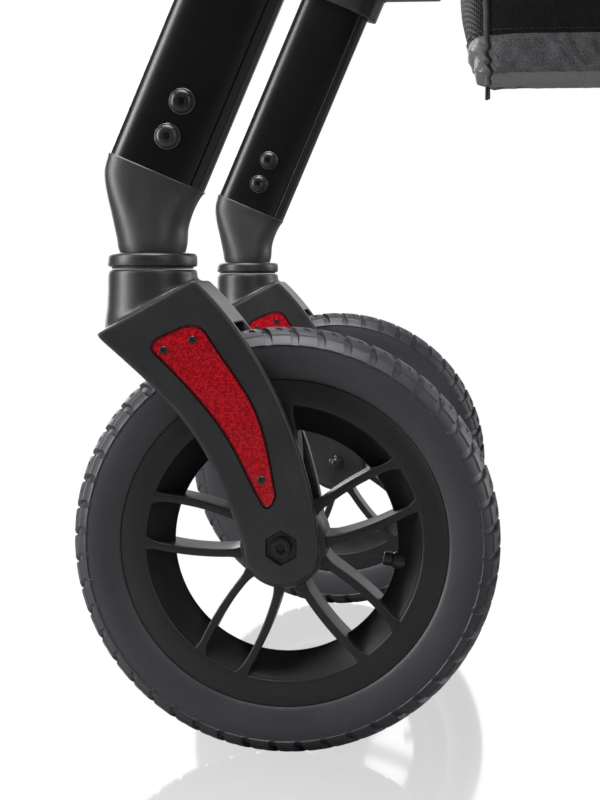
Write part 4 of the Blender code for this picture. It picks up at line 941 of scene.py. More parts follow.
def oval(width, thickness, squareness=2.0, steps=64):
    """A rounded section: 2 is an ellipse, and higher is squarer."""
    points = []
    for step in range(steps):
        angle = 2 * math.pi * (step + 0.5) / steps
        across, through = math.cos(angle), math.sin(angle)
        points.append((math.copysign(abs(across) ** (2 / squareness), across) * width / 2,
                       math.copysign(abs(through) ** (2 / squareness), through) * thickness / 2))
    return points


def laid(ring, centre, across, through=OUTWARDS):
    return [centre + across * a + through * b for a, b in ring]


def between(values, t):
    """A smooth value through a list of values, t from 0 to 1."""
    span = len(values) - 1
    index = min(int(t * span), span - 1)
    local = t * span - index
    before, one = values[max(index - 1, 0)], values[index]
    two, after = values[index + 1], values[min(index + 2, span)]
    squared, cubed = 2 * before - 5 * one + 4 * two - after, 3 * one - before - 3 * two + after
    return 0.5 * (2 * one + (two - before) * local + squared * local ** 2 + cubed * local ** 3)


def elbow_shape():
    rings = []
    steps = 42
    for step in range(steps + 1):
        t = step / steps
        fy, fz = (between([place[0][i] for place in ELBOW_PLACES], t) for i in (0, 1))
        ry, rz = (between([place[1][i] for place in ELBOW_PLACES], t) for i in (0, 1))
        thickness, square = (between([place[i] for place in ELBOW_PLACES], t) for i in (2, 3))
        front, rear = Vector((0, fy, fz)), Vector((0, ry, rz))
        centre = (front + rear) / 2 + Vector((FRONT_AXLE.x, 0, 0))
        across = (rear - front).normalized()
        width = (rear - front).length
        rings.append(laid(oval(width, thickness, square), centre, across))
    for inset, along in ((0.0006, 0.0006), (0.006, 0.004)):  # the lip turns in under the tube
        lip = oval(LEG_WIDTH - inset, LEG_THICKNESS - inset, LEG_SQUARE)
        rings.append(laid(lip, on_leg(along), LEG_BACK))
    return skinned(rings)


elbow_plastic = coated_material(
    "elbow_plastic", grey(0.010, cool=0.10), grey(0.034, cool=0.10), 1500, 0.42, 0.22, 0.08,
    film=0.05, speck_size=0.032, specks=140, clouds=34, Coat_Weight=0.12, Coat_Roughness=0.35)
both_sides("elbow_moulding", elbow_shape(), "frame", elbow_plastic, ["elbow"], sharp=40)


# ---------------------------------------------------------------- front legs
# Extruded aluminium of a squarish oval section, anodised satin black, with a fine groove along each
# side near its rear edge. It is open at the top, where the handle's tube slides in.

LEG_LENGTH, LEG_WALL = 0.375, 0.0022


def grooved_oval(width, thickness):
    points = []
    for a, b in oval(width, thickness, LEG_SQUARE, 160):
        near_groove = abs(abs(a) - 0.0262) < 0.00055 and a > 0 and abs(b) > 0.004
        points.append((a, b - math.copysign(0.0007, b) if near_groove else b))
    return points


def tube_shape(outer, inner):
    """A hollow tube: rings up its outside, then down its inside, joined at both ends."""
    return ring_of(outer + inner[::-1])


leg_outside, leg_inside = grooved_oval(LEG_WIDTH, LEG_THICKNESS), oval(
    LEG_WIDTH - 2 * LEG_WALL, LEG_THICKNESS - 2 * LEG_WALL, LEG_SQUARE, 160)
leg_shape = tube_shape(
    [laid(leg_outside, on_leg(s), LEG_BACK) for s in (0.0, 0.12, 0.25, LEG_LENGTH)],
    [laid(leg_inside, on_leg(s), LEG_BACK) for s in (0.0, LEG_LENGTH)])
satin_anodised = coated_material(
    "satin_anodised", grey(0.0016, cool=0.20), grey(0.0042, cool=0.20), 2600, 0.26, 0.10, 0.006,
    film=0.010, speck_size=0.024, specks=130, clouds=9, Specular_IOR_Level=0.42)
both_sides("leg_extrusion", leg_shape, "frame", satin_anodised, ["front_leg"], sharp=30)


# ---------------------------------------------------------------- leg bolts
# Two M8 button-head bolts right through each leg and the elbow's spigot, black oxide, each head on a
# thin bright washer.

HEAD_RADIUS, HEAD_SEAT, HEAD_HIGH = 0.0082, LEG_THICKNESS / 2 + 0.0003, 0.0042
BOLT_PLACES = (("lower", 0.025), ("upper", 0.050))


def bolt_end(side, centre):
    top = HEAD_SEAT + HEAD_HIGH
    return across_x([(side * x, ring) for x, ring in (
        (top - 0.0026, six_sided(0.0024)), (top - 0.0002, six_sided(0.0025)), (top, six_sided(0.0029)),
        (top, round_line(0.0042)), (top - 0.0004, round_line(0.0056)),
        (top - 0.0012, round_line(0.0070)),
        (top - 0.0022, round_line(0.0078)), (top - 0.0031, round_line(HEAD_RADIUS)),
        (HEAD_SEAT + 0.0005, round_line(HEAD_RADIUS)), (0.0, round_line(0.004)))], centre)


def washer(side, centre):
    inner, outer = HEAD_SEAT - 0.0006, HEAD_SEAT + 0.0007
    return across_x([(side * x, round_line(radius, 40)) for x, radius in (
        (inner, 0.0072), (inner, 0.00875), (outer - 0.0003, 0.00875), (outer, 0.0085),
        (outer, 0.0072))], centre)


bolt_oxide = coated_material(
    "bolt_oxide", grey(0.020, cool=0.05), grey(0.075, cool=0.05), 1700, 0.33, 0.18, 0.03,
    film=0.04, specks=90, Metallic=0.8)
washer_steel = coated_material(
    "washer_steel", grey(0.16), grey(0.34), 1500, 0.36, 0.15, 0.01, film=0.02, specks=80, Metallic=0.9)
for word, along in BOLT_PLACES:
    ends = gathered(bolt_end(1, on_leg(along)), bolt_end(-1, on_leg(along)))
    both_sides(f"bolt_{word}", ends, "frame", bolt_oxide, [f"leg_bolt_{word}"], sharp=35)
    rounds = gathered(washer(1, on_leg(along)), washer(-1, on_leg(along)))
    both_sides(f"bolt_washer_{word}", rounds, "frame", washer_steel, sharp=35)


# ---------------------------------------------------------------- joint brackets
# A nylon casting round each leg, which holds the side frame's tube behind it and cradles the seat
# rail's front end on a foot inboard.


def as_drawn(node):
    """A copy of a frame node as one welded mesh, with its flat faces joined up."""
    shape = bmesh.new()
    source = bpy.data.objects[node]
    shape.from_mesh(source.data)
    bmesh.ops.remove_doubles(shape, verts=shape.verts, dist=0.00001)
    bmesh.ops.dissolve_limit(
        shape, angle_limit=math.radians(1.5), verts=shape.verts, edges=shape.edges)
    return shape


def eased(shape, radius, segments=3, angle=30):
    """The shape with its edges rounded."""
    return worked(shape, [("BEVEL", {
        "width": radius, "segments": segments, "limit_method": "ANGLE",
        "angle_limit": math.radians(angle), "use_clamp_overlap": True, "harden_normals": False})])


def melted(shape, voxel, rounds):
    """The shape with every edge and inside corner rounded, as a casting's are."""
    return worked(shape, [
        ("REMESH", {"mode": "VOXEL", "voxel_size": voxel}),
        ("SMOOTH", {"factor": 0.5, "iterations": rounds})])


both_sides("bracket_casting", melted(as_drawn("joint_bracket_left"), 0.0013, 6), "frame",
           elbow_plastic, ["joint_bracket"], sharp=45)


# ---------------------------------------------------------------- side frames
# An oval aluminium tube from each bracket to the rear wheel's fork, bent once, with the lug for one
# cross bar welded to its inner side.

REAR_RAKE = math.radians(14.7)
REAR_UP = Vector((0, -math.sin(REAR_RAKE), math.cos(REAR_RAKE)))
REAR_BACK = Vector((0, math.cos(REAR_RAKE), math.sin(REAR_RAKE)))
FRAME_Z, FRAME_HIGH, FRAME_THICK, FRAME_BEND = 0.622, 0.044, 0.030, 0.080
FRAME_START, FRAME_END = -0.160, 0.1850
LUG_Z, RAIL_X = 0.375, 0.244


def on_rear_leg(before, up):
    return REAR_AXLE + REAR_BACK * before + REAR_UP * up


def bent_path(steps=20):
    """Places and directions down the side frame's tube."""
    corner = REAR_AXLE.y - (FRAME_Z - REAR_AXLE.z) * math.tan(REAR_RAKE)
    turn = math.pi / 2 - REAR_RAKE
    tangent = FRAME_BEND * math.tan(turn / 2)
    path = [(Vector((REAR_AXLE.x, FRAME_START, FRAME_Z)), Vector((0, 1, 0)))]
    for step in range(steps + 1):
        angle = turn * step / steps
        centre = Vector((REAR_AXLE.x, corner - tangent + FRAME_BEND * math.sin(angle),
                         FRAME_Z - FRAME_BEND * (1 - math.cos(angle))))
        path.append((centre, Vector((0, math.cos(angle), -math.sin(angle)))))
    path.append((on_rear_leg(0, FRAME_END), -REAR_UP))
    return path


def swept(path, section):
    return [laid(section, centre, way.cross(OUTWARDS).normalized()) for centre, way in path]


frame_outside = oval(FRAME_HIGH, FRAME_THICK, LEG_SQUARE, 56)
frame_inside = oval(FRAME_HIGH - 0.005, FRAME_THICK - 0.005, LEG_SQUARE, 56)
side_tube = tube_shape(swept(bent_path(), frame_outside), swept(bent_path(), frame_inside))


def lug_shape(bar_y):
    """The welded plate and the headed pin that the bar turns on."""
    plate_low = Vector((RAIL_X - 0.014, bar_y + 0.0103, LUG_Z - 0.014))
    plate_high = Vector((REAR_AXLE.x - FRAME_THICK / 2 + 0.003, bar_y + 0.0203, LUG_Z + 0.014))
    size, middle_point = plate_high - plate_low, (plate_low + plate_high) / 2
    outline = [(middle_point.x + a, LUG_Z + b) for a, b in soft_rectangle(size.x, size.z, 0.005)]
    plate = skinned([[Vector((x, y, z)) for x, z in outline] for y in (plate_low.y, plate_high.y)])
    plate = eased(plate, 0.0008)
    rounds = ((bar_y - 0.0131, 0.0070), (bar_y - 0.0133, 0.0078), (bar_y - 0.0103, 0.0080),
              (bar_y - 0.0103, 0.0060), (bar_y + 0.0153, 0.0060))
    pin = skinned([[Vector((RAIL_X + x, y, LUG_Z + z)) for x, z in round_line(radius, 32)]
                   for y, radius in rounds])
    return gathered(plate, pin)


for word, side, bar_y in (("left", 1, 0.134), ("right", -1, 0.160)):
    whole = gathered(side_tube.copy(), lug_shape(bar_y))
    if side < 0:
        mirrored(whole)
    finished(f"side_tube_{word}", whole, f"frame_{word}", satin_anodised,
             [f"frame_tube_{word}"], sharp=35)


# ---------------------------------------------------------------- rear forks
# A fixed nylon fork at the foot of each side frame, with two arms to the axle, and a pair of ears in
# front that carry the brake arm.

both_sides("rear_fork_moulding", melted(as_drawn("rear_fork_left"), 0.0012, 7), "frame",
           fork_plastic, ["rear_fork"], sharp=45)


# ---------------------------------------------------------------- brake arms
# A cast arm on a pin between the ears, with a curved shoe that bears on the tyre and a tail that the
# cable pulls.

cast_black = coated_material(
    "cast_black", grey(0.010, cool=0.06), grey(0.028, cool=0.06), 1300, 0.48, 0.20, 0.10,
    film=0.06, specks=140, Coat_Weight=0.05)
both_sides("brake_casting", melted(as_drawn("brake_arm_left"), 0.0009, 5), "shoe_arm",
           cast_black, ["brake_arm"], sharp=45)


# ---------------------------------------------------------------- cross bars
# Two oval aluminium bars that cross under the seat. Each turns on a side frame's pin at its foot,
# carries the other side's seat rail at its top, and is pinned to the other bar in the middle.

for bar in ("cross_bar_a", "cross_bar_b"):
    finished(f"{bar}_tube", eased(as_drawn(bar), 0.0008, 2, 40), bar, satin_anodised, [bar],
             sharp=40)
pivot = eased(as_drawn("cross_pivot"), 0.0005, 2, 40)
finished("cross_pivot_bolt", pivot, "cross_bar_a", bolt_oxide, ["cross_pivot"], sharp=35)


# ---------------------------------------------------------------- seat rails
# A round aluminium tube along each edge of the seat. A cross bar's top eye turns on it, and when the
# walker is open it drops into the bracket's cradle. A plug closes each end.

RAIL_Z, RAIL_RADIUS, RAIL_FRONT, RAIL_REAR = 0.620, 0.011, -0.212, 0.174


def along_y(places, centre, steps=48):
    """A round piece along Y, through (y, radius) places."""
    return skinned([[centre + Vector((x, y, z)) for x, z in round_line(radius, steps)]
                    for y, radius in places])


def rail_shape():
    core = Vector((RAIL_X, 0, RAIL_Z))
    ends = (RAIL_FRONT, 1), (RAIL_REAR, -1)
    tube_ends = ((0.0015, -0.0004), (0.0019, 0.0)), ((0.0019, 0.0), (0.0015, -0.0004))
    tube = along_y([(end + way * inset, RAIL_RADIUS + less)
                    for (end, way), steps in zip(ends, tube_ends) for inset, less in steps], core)
    plug_steps = (0.004, -0.0018), (0.0012, -0.0002), (0.0004, -0.0008), (0, -0.0030)
    plugs = [along_y([(end + way * inset, RAIL_RADIUS + less) for inset, less in plug_steps], core)
             for end, way in ends]
    return gathered(tube, *plugs)


both_sides("rail_tube", rail_shape(), "rail", satin_anodised, ["seat_rail"], sharp=30)


# ---------------------------------------------------------------- the seat
# A sling of black woven polyester, sewn round both rails. Its front and rear edges are bound with a
# folded tape, and a double row of stitching closes the sleeve beside each rail.

SEAT_FRONT, SEAT_REAR = -0.145, 0.115
CLOTH, SAG, WRINKLE = 0.0030, 0.0034, 0.0005


def weave_group():
    """A plain weave: threads that pass over and under each other, as height and as light and dark."""
    tree, given = new_group(
        "plain_weave",
        (("Along", "Float", 0.0), ("Across", "Float", 0.0), ("Threads per Metre", "Float", 1400)),
        (("Height", "Float"), ("Thread", "Float")))
    turns = maths(tree, "MULTIPLY", given.outputs["Threads per Metre"], math.pi)
    waves = []
    for name in ("Along", "Across"):
        phase = maths(tree, "MULTIPLY", given.outputs[name], turns)
        sine = maths(tree, "SINE", phase)
        round_top = maths(tree, "ABSOLUTE", sine)
        half = maths(tree, "DIVIDE", phase, math.pi)
        count = maths(tree, "FLOOR", half)
        waves.append((round_top, count))
    both = maths(tree, "ADD", waves[0][1], waves[1][1])
    even = maths(tree, "FLOORED_MODULO", both, 2.0)
    height = mix_of(tree, "FLOAT", even, waves[0][0], waves[1][0])
    add_node(tree, "NodeGroupOutput", {"Height": height, "Thread": even})
    return tree


WEAVE = weave_group()


def cloth_material(name, dark, light, threads, roughness, bump_mm, along="X", across="Y", **more):
    """Woven cloth: the weave over clouds of wear, its height painted into the colour as shade in the
    dips and highlight on the thread crowns, with a sheen, under settled dust.
    """
    made, tree, shader = new_material(name)
    place = add_node(tree, "ShaderNodeTexCoord")
    parts = add_node(tree, "ShaderNodeSeparateXYZ", {0: place.outputs["Object"]})
    weave = fill_group(tree, WEAVE, {
        "Along": parts.outputs[along], "Across": parts.outputs[across], "Threads per Metre": threads})
    grain = fill_group(tree, GRAIN, {
        "Dark": dark, "Light": light, "Grains per Metre": 420, "Roughness": roughness,
        "Roughness Spread": 0.2, "Clouds per Metre": 40})
    # Painted shade and highlight: the weave's height darkens its dips and lightens its crowns in the
    # colour itself.
    shade = remapped(tree, weave.outputs["Height"], 0.0, 1.0, 0.35, 1.25)
    weave_shaded_colour = mix_of(tree, "RGBA", 1.0, grain.outputs["Colour"], shade, blend_type="MULTIPLY")
    dust = fill_group(tree, DUST, {
        "Colour": weave_shaded_colour, "Film": more.pop("film", 0.03), "Speck Size": 0.03,
        "Specks per Metre": 130})
    bump = add_node(tree, "ShaderNodeBump", {
        "Strength": 1.0, "Distance": bump_mm / 1000, "Height": weave.outputs["Height"]})
    feed(tree, shader, {
        "Base Color": dust.outputs["Colour"], "Roughness": grain.outputs["Roughness"], "Normal": bump,
        **shader_sockets(more)})
    return made


def seat_section(y):
    """The sling's middle line at one y: round the left rail, over the top and round the right one."""
    edge = min(y - SEAT_FRONT, SEAT_REAR - y)
    sag = SAG * min(1.0, edge / 0.05 + 0.35)
    radius = RAIL_RADIUS + 0.0002 + CLOTH / 2
    half = []
    for step in range(15):
        angle = math.radians(-60 + 150 * step / 14)
        half.append((RAIL_X + radius * math.cos(angle), RAIL_Z + radius * math.sin(angle)))
    flat = []
    for step in range(1, 24):
        x = RAIL_X * (1 - step / 12)
        drop = sag * (1 - (x / RAIL_X) ** 2)
        wrinkle = WRINKLE * noise.noise(Vector((x * 14, y * 5, 3.1))) * (1 - (x / RAIL_X) ** 2)
        flat.append((x, RAIL_Z + radius - drop + wrinkle))
    other = [(-x, z) for x, z in reversed(half)]
    return half + flat + other


def thickened(line, thick):
    """A line made a thin closed outline."""
    one, two = [], []
    for i, point in enumerate(line):
        before, after = line[max(i - 1, 0)], line[min(i + 1, len(line) - 1)]
        along = Vector((after[0] - before[0], after[1] - before[1])).normalized()
        one.append((point[0] - along.y * thick / 2, point[1] + along.x * thick / 2))
        two.append((point[0] + along.y * thick / 2, point[1] - along.x * thick / 2))
    return one + two[::-1]


def seat_strip(y_places):
    return skinned([[Vector((x, y, z)) for x, z in thickened(seat_section(y), thick)]
                    for y, thick in y_places])


seat_cloth = cloth_material(
    "seat_cloth", grey(0.010, cool=0.08), grey(0.020, cool=0.08), 900, 0.72, 0.22,
    film=0.05, Sheen_Weight=0.25, Sheen_Roughness=0.5)
steps = 53
places = [(SEAT_FRONT + (SEAT_REAR - SEAT_FRONT) * i / steps, CLOTH - 0.0004)
          for i in range(steps + 1)]
sling = finished("seat_sling", seat_strip(places), "rail_left", seat_cloth, ["seat"],
                 sharp=60)
seat_tape = cloth_material(
    "seat_tape", grey(0.008), grey(0.017), 1500, 0.60, 0.16, along="X", across="Y", film=0.03,
    Sheen_Weight=0.15)
TAPE_STEPS = (  # how far in from the edge, and how much thicker than the cloth
    (0.0, -0.0010), (0.0003, 0.0004), (0.0013, 0.0010), (0.0105, 0.0010), (0.0115, 0.0004),
    (0.0118, -0.001))
tapes = [seat_strip([(edge + way * a, CLOTH + b) for a, b in TAPE_STEPS])
         for edge, way in ((SEAT_FRONT, 1), (SEAT_REAR, -1))]
bindings = finished("seat_binding", gathered(*tapes), "rail_left", seat_tape, sharp=50)


def stitch_tree(name, material):
    """A Geometry Nodes tree that lays one stitch after another along a line, on the cloth."""
    tree, given = new_group(
        name,
        (("Line", "Geometry", None), ("Stitch", "Float", 0.0032), ("Gap", "Float", 0.0011),
         ("Thread", "Float", 0.00035)),
        (("Stitches", "Geometry"),), "Geometry")
    line = add_node(tree, "GeometryNodeMeshToCurve", {"Mesh": given.outputs["Line"]})
    pitch = maths(tree, "ADD", given.outputs["Stitch"], given.outputs["Gap"])
    points = add_node(tree, "GeometryNodeCurveToPoints", {
        "Curve": line, "Length": pitch}, mode="LENGTH")
    thread = add_node(tree, "GeometryNodeMeshCylinder", {
        "Vertices": 6, "Radius": given.outputs["Thread"], "Depth": given.outputs["Stitch"]})
    laid_down = add_node(tree, "GeometryNodeInstanceOnPoints", {
        "Points": points.outputs["Points"], "Instance": thread,
        "Rotation": points.outputs["Rotation"]})
    real = add_node(tree, "GeometryNodeRealizeInstances", {"Geometry": laid_down})
    done = add_node(tree, "GeometryNodeSetMaterial", {"Geometry": real, "Material": material})
    add_node(tree, "NodeGroupOutput", {0: done})
    return tree


def line_shape(lines):
    shape = bmesh.new()
    for points in lines:
        verts = [shape.verts.new(point) for point in points]
        for one, two in zip(verts, verts[1:]):
            shape.edges.new((one, two))
    return shape


thread = coated_material("thread", grey(0.018), grey(0.050), 2600, 0.6, 0.1, 0.02, specks=20)
stitch_row = stitch_tree("stitch_row", thread)
rows = []
for side in (1, -1):
    for inset in (0.0185, 0.0225):
        x = side * (RAIL_X - inset)
        row = []
        for i in range(49):
            y = SEAT_FRONT + 0.002 + (SEAT_REAR - SEAT_FRONT - 0.004) * i / 48
            line = seat_section(y)
            near = sorted(line[14:-14], key=lambda point: abs(point[0] - x))[:2]
            span = near[0][0] - near[1][0]
            z = near[0][1] + (near[1][1] - near[0][1]) * ((near[0][0] - x) / span if span else 0)
            row.append((x, y, z + CLOTH / 2 - 0.0001))
        rows.append(row)
for edge, way in ((SEAT_FRONT, 1), (SEAT_REAR, -1)):
    y = edge + way * 0.0095
    rows.append([(x, y, z + CLOTH / 2 + 0.0004) for x, z in seat_section(y)[14:-14]])
stitches = grown_by_nodes(line_shape(rows), stitch_row)
seat_thread = finished("seat_stitching", stitches, "rail_left", thread, sharp=60)


# ---------------------------------------------------------------- the bag
# An open shopping bag that hangs from the seat: woven mesh above, a band of thin shiny nylon round
# its foot, and a tape down each corner. It is empty, so it narrows and wrinkles below.

BAG_WIDE, BAG_NARROW = 0.1470, 0.0570
BAG_FRONT, BAG_REAR = -0.0900, 0.1020
BAG_RIM, BAG_FOOT, BAG_BAND, BAG_HANG = 0.585, 0.4868, 0.5150, 0.6285
BAG_SQUARE = 9.0  # how square its corners are, seen from above
FRONT_BULGE, SIDE_BULGE = 0.0165, 0.004
CREASE, FINE_CREASE, RIPPLE, CORNER_CRUMPLE = 0.0042, 0.0013, 0.0016, 0.0014
BAG_CLOTH = 0.0012
ROUND, DOWN = 200, 46


def bag_point(turn, fall):
    """A point of the bag's cloth. turn is 0 to 1 round it, fall 0 at its rim to 1 at its foot."""
    angle = 2 * math.pi * turn
    a, b = math.cos(angle), math.sin(angle)
    reach = (abs(a) ** BAG_SQUARE + abs(b) ** BAG_SQUARE) ** (-1 / BAG_SQUARE)
    sx, sy = a * reach, b * reach
    side_share = min(1.0, max(0.0, (abs(sx) - 0.985) / 0.014))
    side_share *= min(1.0, max(0.0, (0.985 - abs(sy)) / 0.06))
    top = BAG_RIM + (BAG_HANG - BAG_RIM) * side_share
    z = top + (BAG_FOOT - top) * fall
    level = min(1.0, max(0.0, (BAG_RIM - z) / (BAG_RIM - BAG_FOOT)))
    wide = BAG_WIDE + (BAG_NARROW - BAG_WIDE) * (level ** 1.15)
    belly = math.sin(math.pi * min(1.0, 0.22 + 0.80 * level)) if z < BAG_RIM else 0.6
    mid, deep = (BAG_FRONT + BAG_REAR) / 2, (BAG_REAR - BAG_FRONT) / 2
    x, y = wide * sx, mid + deep * sy
    front = max(0.0, 1 - sx * sx) ** 0.6 * (abs(sy) > 0.9)
    y += math.copysign(FRONT_BULGE * front * belly, sy)
    side = max(0.0, 1 - sy * sy) ** 0.7 * (abs(sx) > 0.9)
    x += math.copysign(SIDE_BULGE * side * belly, sx)
    z += 0.0030 * front * level
    low = min(1.0, max(0.0, (BAG_BAND + 0.004 - z) / 0.012)) if level > 0 else 0.0
    corner = math.exp(-((abs(sy) - 1.0) ** 2) / 0.02) * math.exp(-((abs(sx) - 1.0) ** 2) / 0.004)
    fan = noise.noise(Vector((y * 60 + z * 75, z * 22 - y * 16, x * 9 + 5.0)))
    fine = noise.noise(Vector((y * 170 - z * 90, z * 120, x * 120 + 2.0)))
    ripple = noise.noise(Vector((x * 12, y * 12, z * 30 + 9.0)))
    crease = CREASE * (1 - abs(fan) * 2.8) * low + FINE_CREASE * fine * low + RIPPLE * ripple
    crease += CORNER_CRUMPLE * noise.noise(Vector((0.0, y * 8, z * 260))) * corner
    if abs(sx) > abs(sy):
        x += math.copysign(crease, sx)
    else:
        y += math.copysign(crease, sy)
    z -= 0.0045 * corner * level ** 3
    return Vector((x, y, z)), low


def bag_cloth():
    shape = bmesh.new()
    band = shape.verts.layers.float.new("nylon")
    rows = []
    for step in range(DOWN + 1):
        fall = step / DOWN
        row = []
        for i in range(ROUND):
            place, low = bag_point((i + 0.5) / ROUND, fall)
            point = shape.verts.new(place)
            point[band] = low
            row.append(point)
        rows.append(row)
    foot = [vert.co.copy() for vert in rows[-1]]
    centre = sum(foot, Vector()) / len(foot)
    for share in (0.94, 0.82, 0.62, 0.40, 0.18):
        row = []
        for place in foot:
            spot = centre + (place - centre) * share
            spot.z = centre.z - 0.0020 * (1 - share) + 0.0012 * noise.noise(spot * 60)
            point = shape.verts.new(spot)
            point[band] = 1.0
            row.append(point)
        rows.append(row)
    bridged(shape, rows)
    shape.faces.new(rows[-1])
    bmesh.ops.recalc_face_normals(shape, faces=shape.faces)
    if sum(face.normal.z for face in shape.faces if len(face.verts) > 4) > 0:
        bmesh.ops.reverse_faces(shape, faces=shape.faces)
    bmesh.ops.triangulate(shape, faces=[face for face in shape.faces if len(face.verts) > 4])
    return worked(shape, [("SOLIDIFY", {"thickness": BAG_CLOTH, "offset": 0.0})])


bag_material = cloth_material(
    "bag_cloth", grey(0.0012, cool=0.05), grey(0.0060, cool=0.05), 620, 0.60, 0.45,
    along="Y", across="Z", film=0.006, Specular_IOR_Level=0.25)
tree = bag_material.node_tree
shader = tree.nodes["Principled BSDF"]
zone = add_node(tree, "ShaderNodeAttribute", attribute_name="nylon")
nylon_here = maths(tree, "GREATER_THAN", zone.outputs["Fac"], 0.5)
nylon = fill_group(tree, GRAIN, {
    "Dark": grey(0.062, cool=0.06), "Light": grey(0.205, cool=0.06), "Grains per Metre": 900,
    "Roughness": 0.34, "Roughness Spread": 0.14, "Clouds per Metre": 55})
for socket, kind, other in (("Base Color", "RGBA", "Colour"), ("Roughness", "FLOAT", "Roughness")):
    woven = shader.inputs[socket].links[0].from_socket
    feed(tree, shader, {socket: mix_of(tree, kind, nylon_here, woven, nylon.outputs[other])})
bump = shader.inputs["Normal"].links[0].from_node
weave_height = bump.inputs["Height"].links[0].from_socket
softer = remapped(tree, nylon_here, 0.0, 1.0, 1.0, 0.12)
height = maths(tree, "MULTIPLY", weave_height, softer)
feed(tree, bump, {"Height": height})
bag_piece = finished("bag_cloth", bag_cloth(), "rail_left", bag_material, ["bag"], sharp=70)


def bag_line(turn, falls, out=0.0):
    points = []
    centre = Vector((0, (BAG_FRONT + BAG_REAR) / 2, 0))
    for fall in falls:
        place = bag_point(turn, fall)[0]
        away = (place - centre) * Vector((1, 1, 0))
        points.append(place + away.normalized() * out)
    return points


def taped(points, normal_of, wide, thick):
    """A soft tape along a line: a flat rounded section that follows it."""
    rings = []
    for i, point in enumerate(points):
        before, after = points[max(i - 1, 0)], points[min(i + 1, len(points) - 1)]
        along = (after - before).normalized()
        out = normal_of(point)
        out = (out - along * out.dot(along)).normalized()
        across = along.cross(out)
        rings.append([point + across * a + out * b for a, b in oval(wide, thick, 3.0, 16)])
    return skinned(rings)


def away_from_middle(point):
    return Vector((point.x, point.y - (BAG_FRONT + BAG_REAR) / 2, 0)).normalized()


bag_tape = cloth_material(
    "bag_tape", grey(0.008), grey(0.020), 1500, 0.55, 0.2, along="Z", across="Y", Sheen_Weight=0.15)
tapes, rows = [], []
for quarter in (0.125, 0.375, 0.625, 0.875):
    reach = 1.10 if quarter > 0.5 else 1.04  # the front corners' tapes hang on below the foot
    falls = [reach * i / 40 for i in range(41)]
    tapes.append(taped(bag_line(quarter, falls, 0.0008), away_from_middle, 0.0060, 0.0030))
hem = [bag_point((i + 0.5) / ROUND, 0.012)[0] for i in range(ROUND + 1)]
hem_ring = []
for i, point in enumerate(hem[:-1]):
    before, after = hem[i - 1] if i else hem[ROUND - 1], hem[i + 1]
    along = (after - before).normalized()
    out = away_from_middle(point)
    out = (out - along * out.dot(along)).normalized()
    up = along.cross(out)
    hem_ring.append([point + out * b + up * a for a, b in oval(0.0110, 0.0034, 3.0, 12)])
tapes.append(ring_of(hem_ring))
bag_bindings = finished("bag_binding", gathered(*tapes), "rail_left", bag_tape, sharp=50)
band_line = []
for i in range(ROUND + 1):
    turn = (i % ROUND + 0.5) / ROUND
    low, high = 0.0, 1.0
    for _ in range(18):
        probe = (low + high) / 2
        if bag_point(turn, probe)[0].z > BAG_BAND + 0.001:
            low = probe
        else:
            high = probe
    place = bag_point(turn, low)[0]
    band_line.append(place + away_from_middle(place) * 0.0009)
band_thread = finished("bag_stitching", grown_by_nodes(line_shape([band_line]), stitch_row),
                       "rail_left", thread, sharp=60)
for piece in (sling, bindings, seat_thread, bag_piece, bag_bindings, band_thread):
    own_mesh(piece)


# ---------------------------------------------------------------- height clamps
# A nylon cap over the top of each leg, which guides the handle's tube, and a knob with a screw that
# presses on the tube.

both_sides("clamp_cap", eased(as_drawn("leg_clamp_left"), 0.0018, 4, 50), "frame", elbow_plastic,
           ["leg_clamp"], sharp=40)

KNOB_LINE = (  # place across, radius, and how far the five lobes swell, in millimetres
    (13.1, 3.0, 0.0), (22.3, 3.0, 0.0), (22.3, 10.0, 0.0), (23.4, 12.4, 0.6), (26.0, 15.4, 2.4),
    (29.5, 16.0, 2.5), (33.6, 15.8, 2.5), (35.6, 14.6, 2.3), (36.8, 12.4, 1.9), (37.3, 9.0, 1.2),
    (37.0, 7.4, 0.3), (36.4, 6.9, 0.0))


def knob_shape():
    centre = on_leg(LEG_LENGTH + 0.011)
    rings = []
    for x, radius, lobe in KNOB_LINE:
        ring = []
        for step in range(90):
            angle = 2 * math.pi * step / 90
            reach = (radius + lobe * math.cos(5 * angle)) / 1000
            ring.append(centre + LEG_BACK * (reach * math.cos(angle))
                        + LEG_UP * (reach * math.sin(angle)) + OUTWARDS * x / 1000)
        rings.append(ring)
    return skinned(rings)


both_sides("knob_moulding", knob_shape(), "knob", cast_black, ["clamp_knob"], sharp=40)


# ---------------------------------------------------------------- handle tubes
# A round aluminium tube for each hand. A nylon foot guides it inside the leg, and it bends back and
# rises a little to the grip.

TUBE_RADIUS, TUBE_WALL = 0.0127, 0.0020
BEND_START, BEND_RADIUS, GRIP_RISE = 0.495, 0.070, math.radians(8)
GRIP_BACK = Vector((0, math.cos(GRIP_RISE), math.sin(GRIP_RISE)))
GRIP_DOWN = Vector((0, math.sin(GRIP_RISE), -math.cos(GRIP_RISE)))
GRIP_START, GRIP_LONG, GRIP_RADIUS = 0.0383, 0.125, 0.0170
GRIP_SWELL, GRIP_RIB = 0.0015, 0.0007


def handle_bend(steps=18):
    first = math.pi / 2 - LEG_RAKE
    places = []
    for step in range(steps + 1):
        angle = first + (GRIP_RISE - first) * step / steps
        offset = Vector((0, BEND_RADIUS * (math.sin(first) - math.sin(angle)),
                         BEND_RADIUS * (math.cos(angle) - math.cos(first))))
        places.append((on_leg(BEND_START) + offset, Vector((0, math.cos(angle), math.sin(angle)))))
    return places


BEND_END = handle_bend()[-1][0]


def on_grip(along, drop=0.0):
    return BEND_END + GRIP_BACK * along + GRIP_DOWN * drop


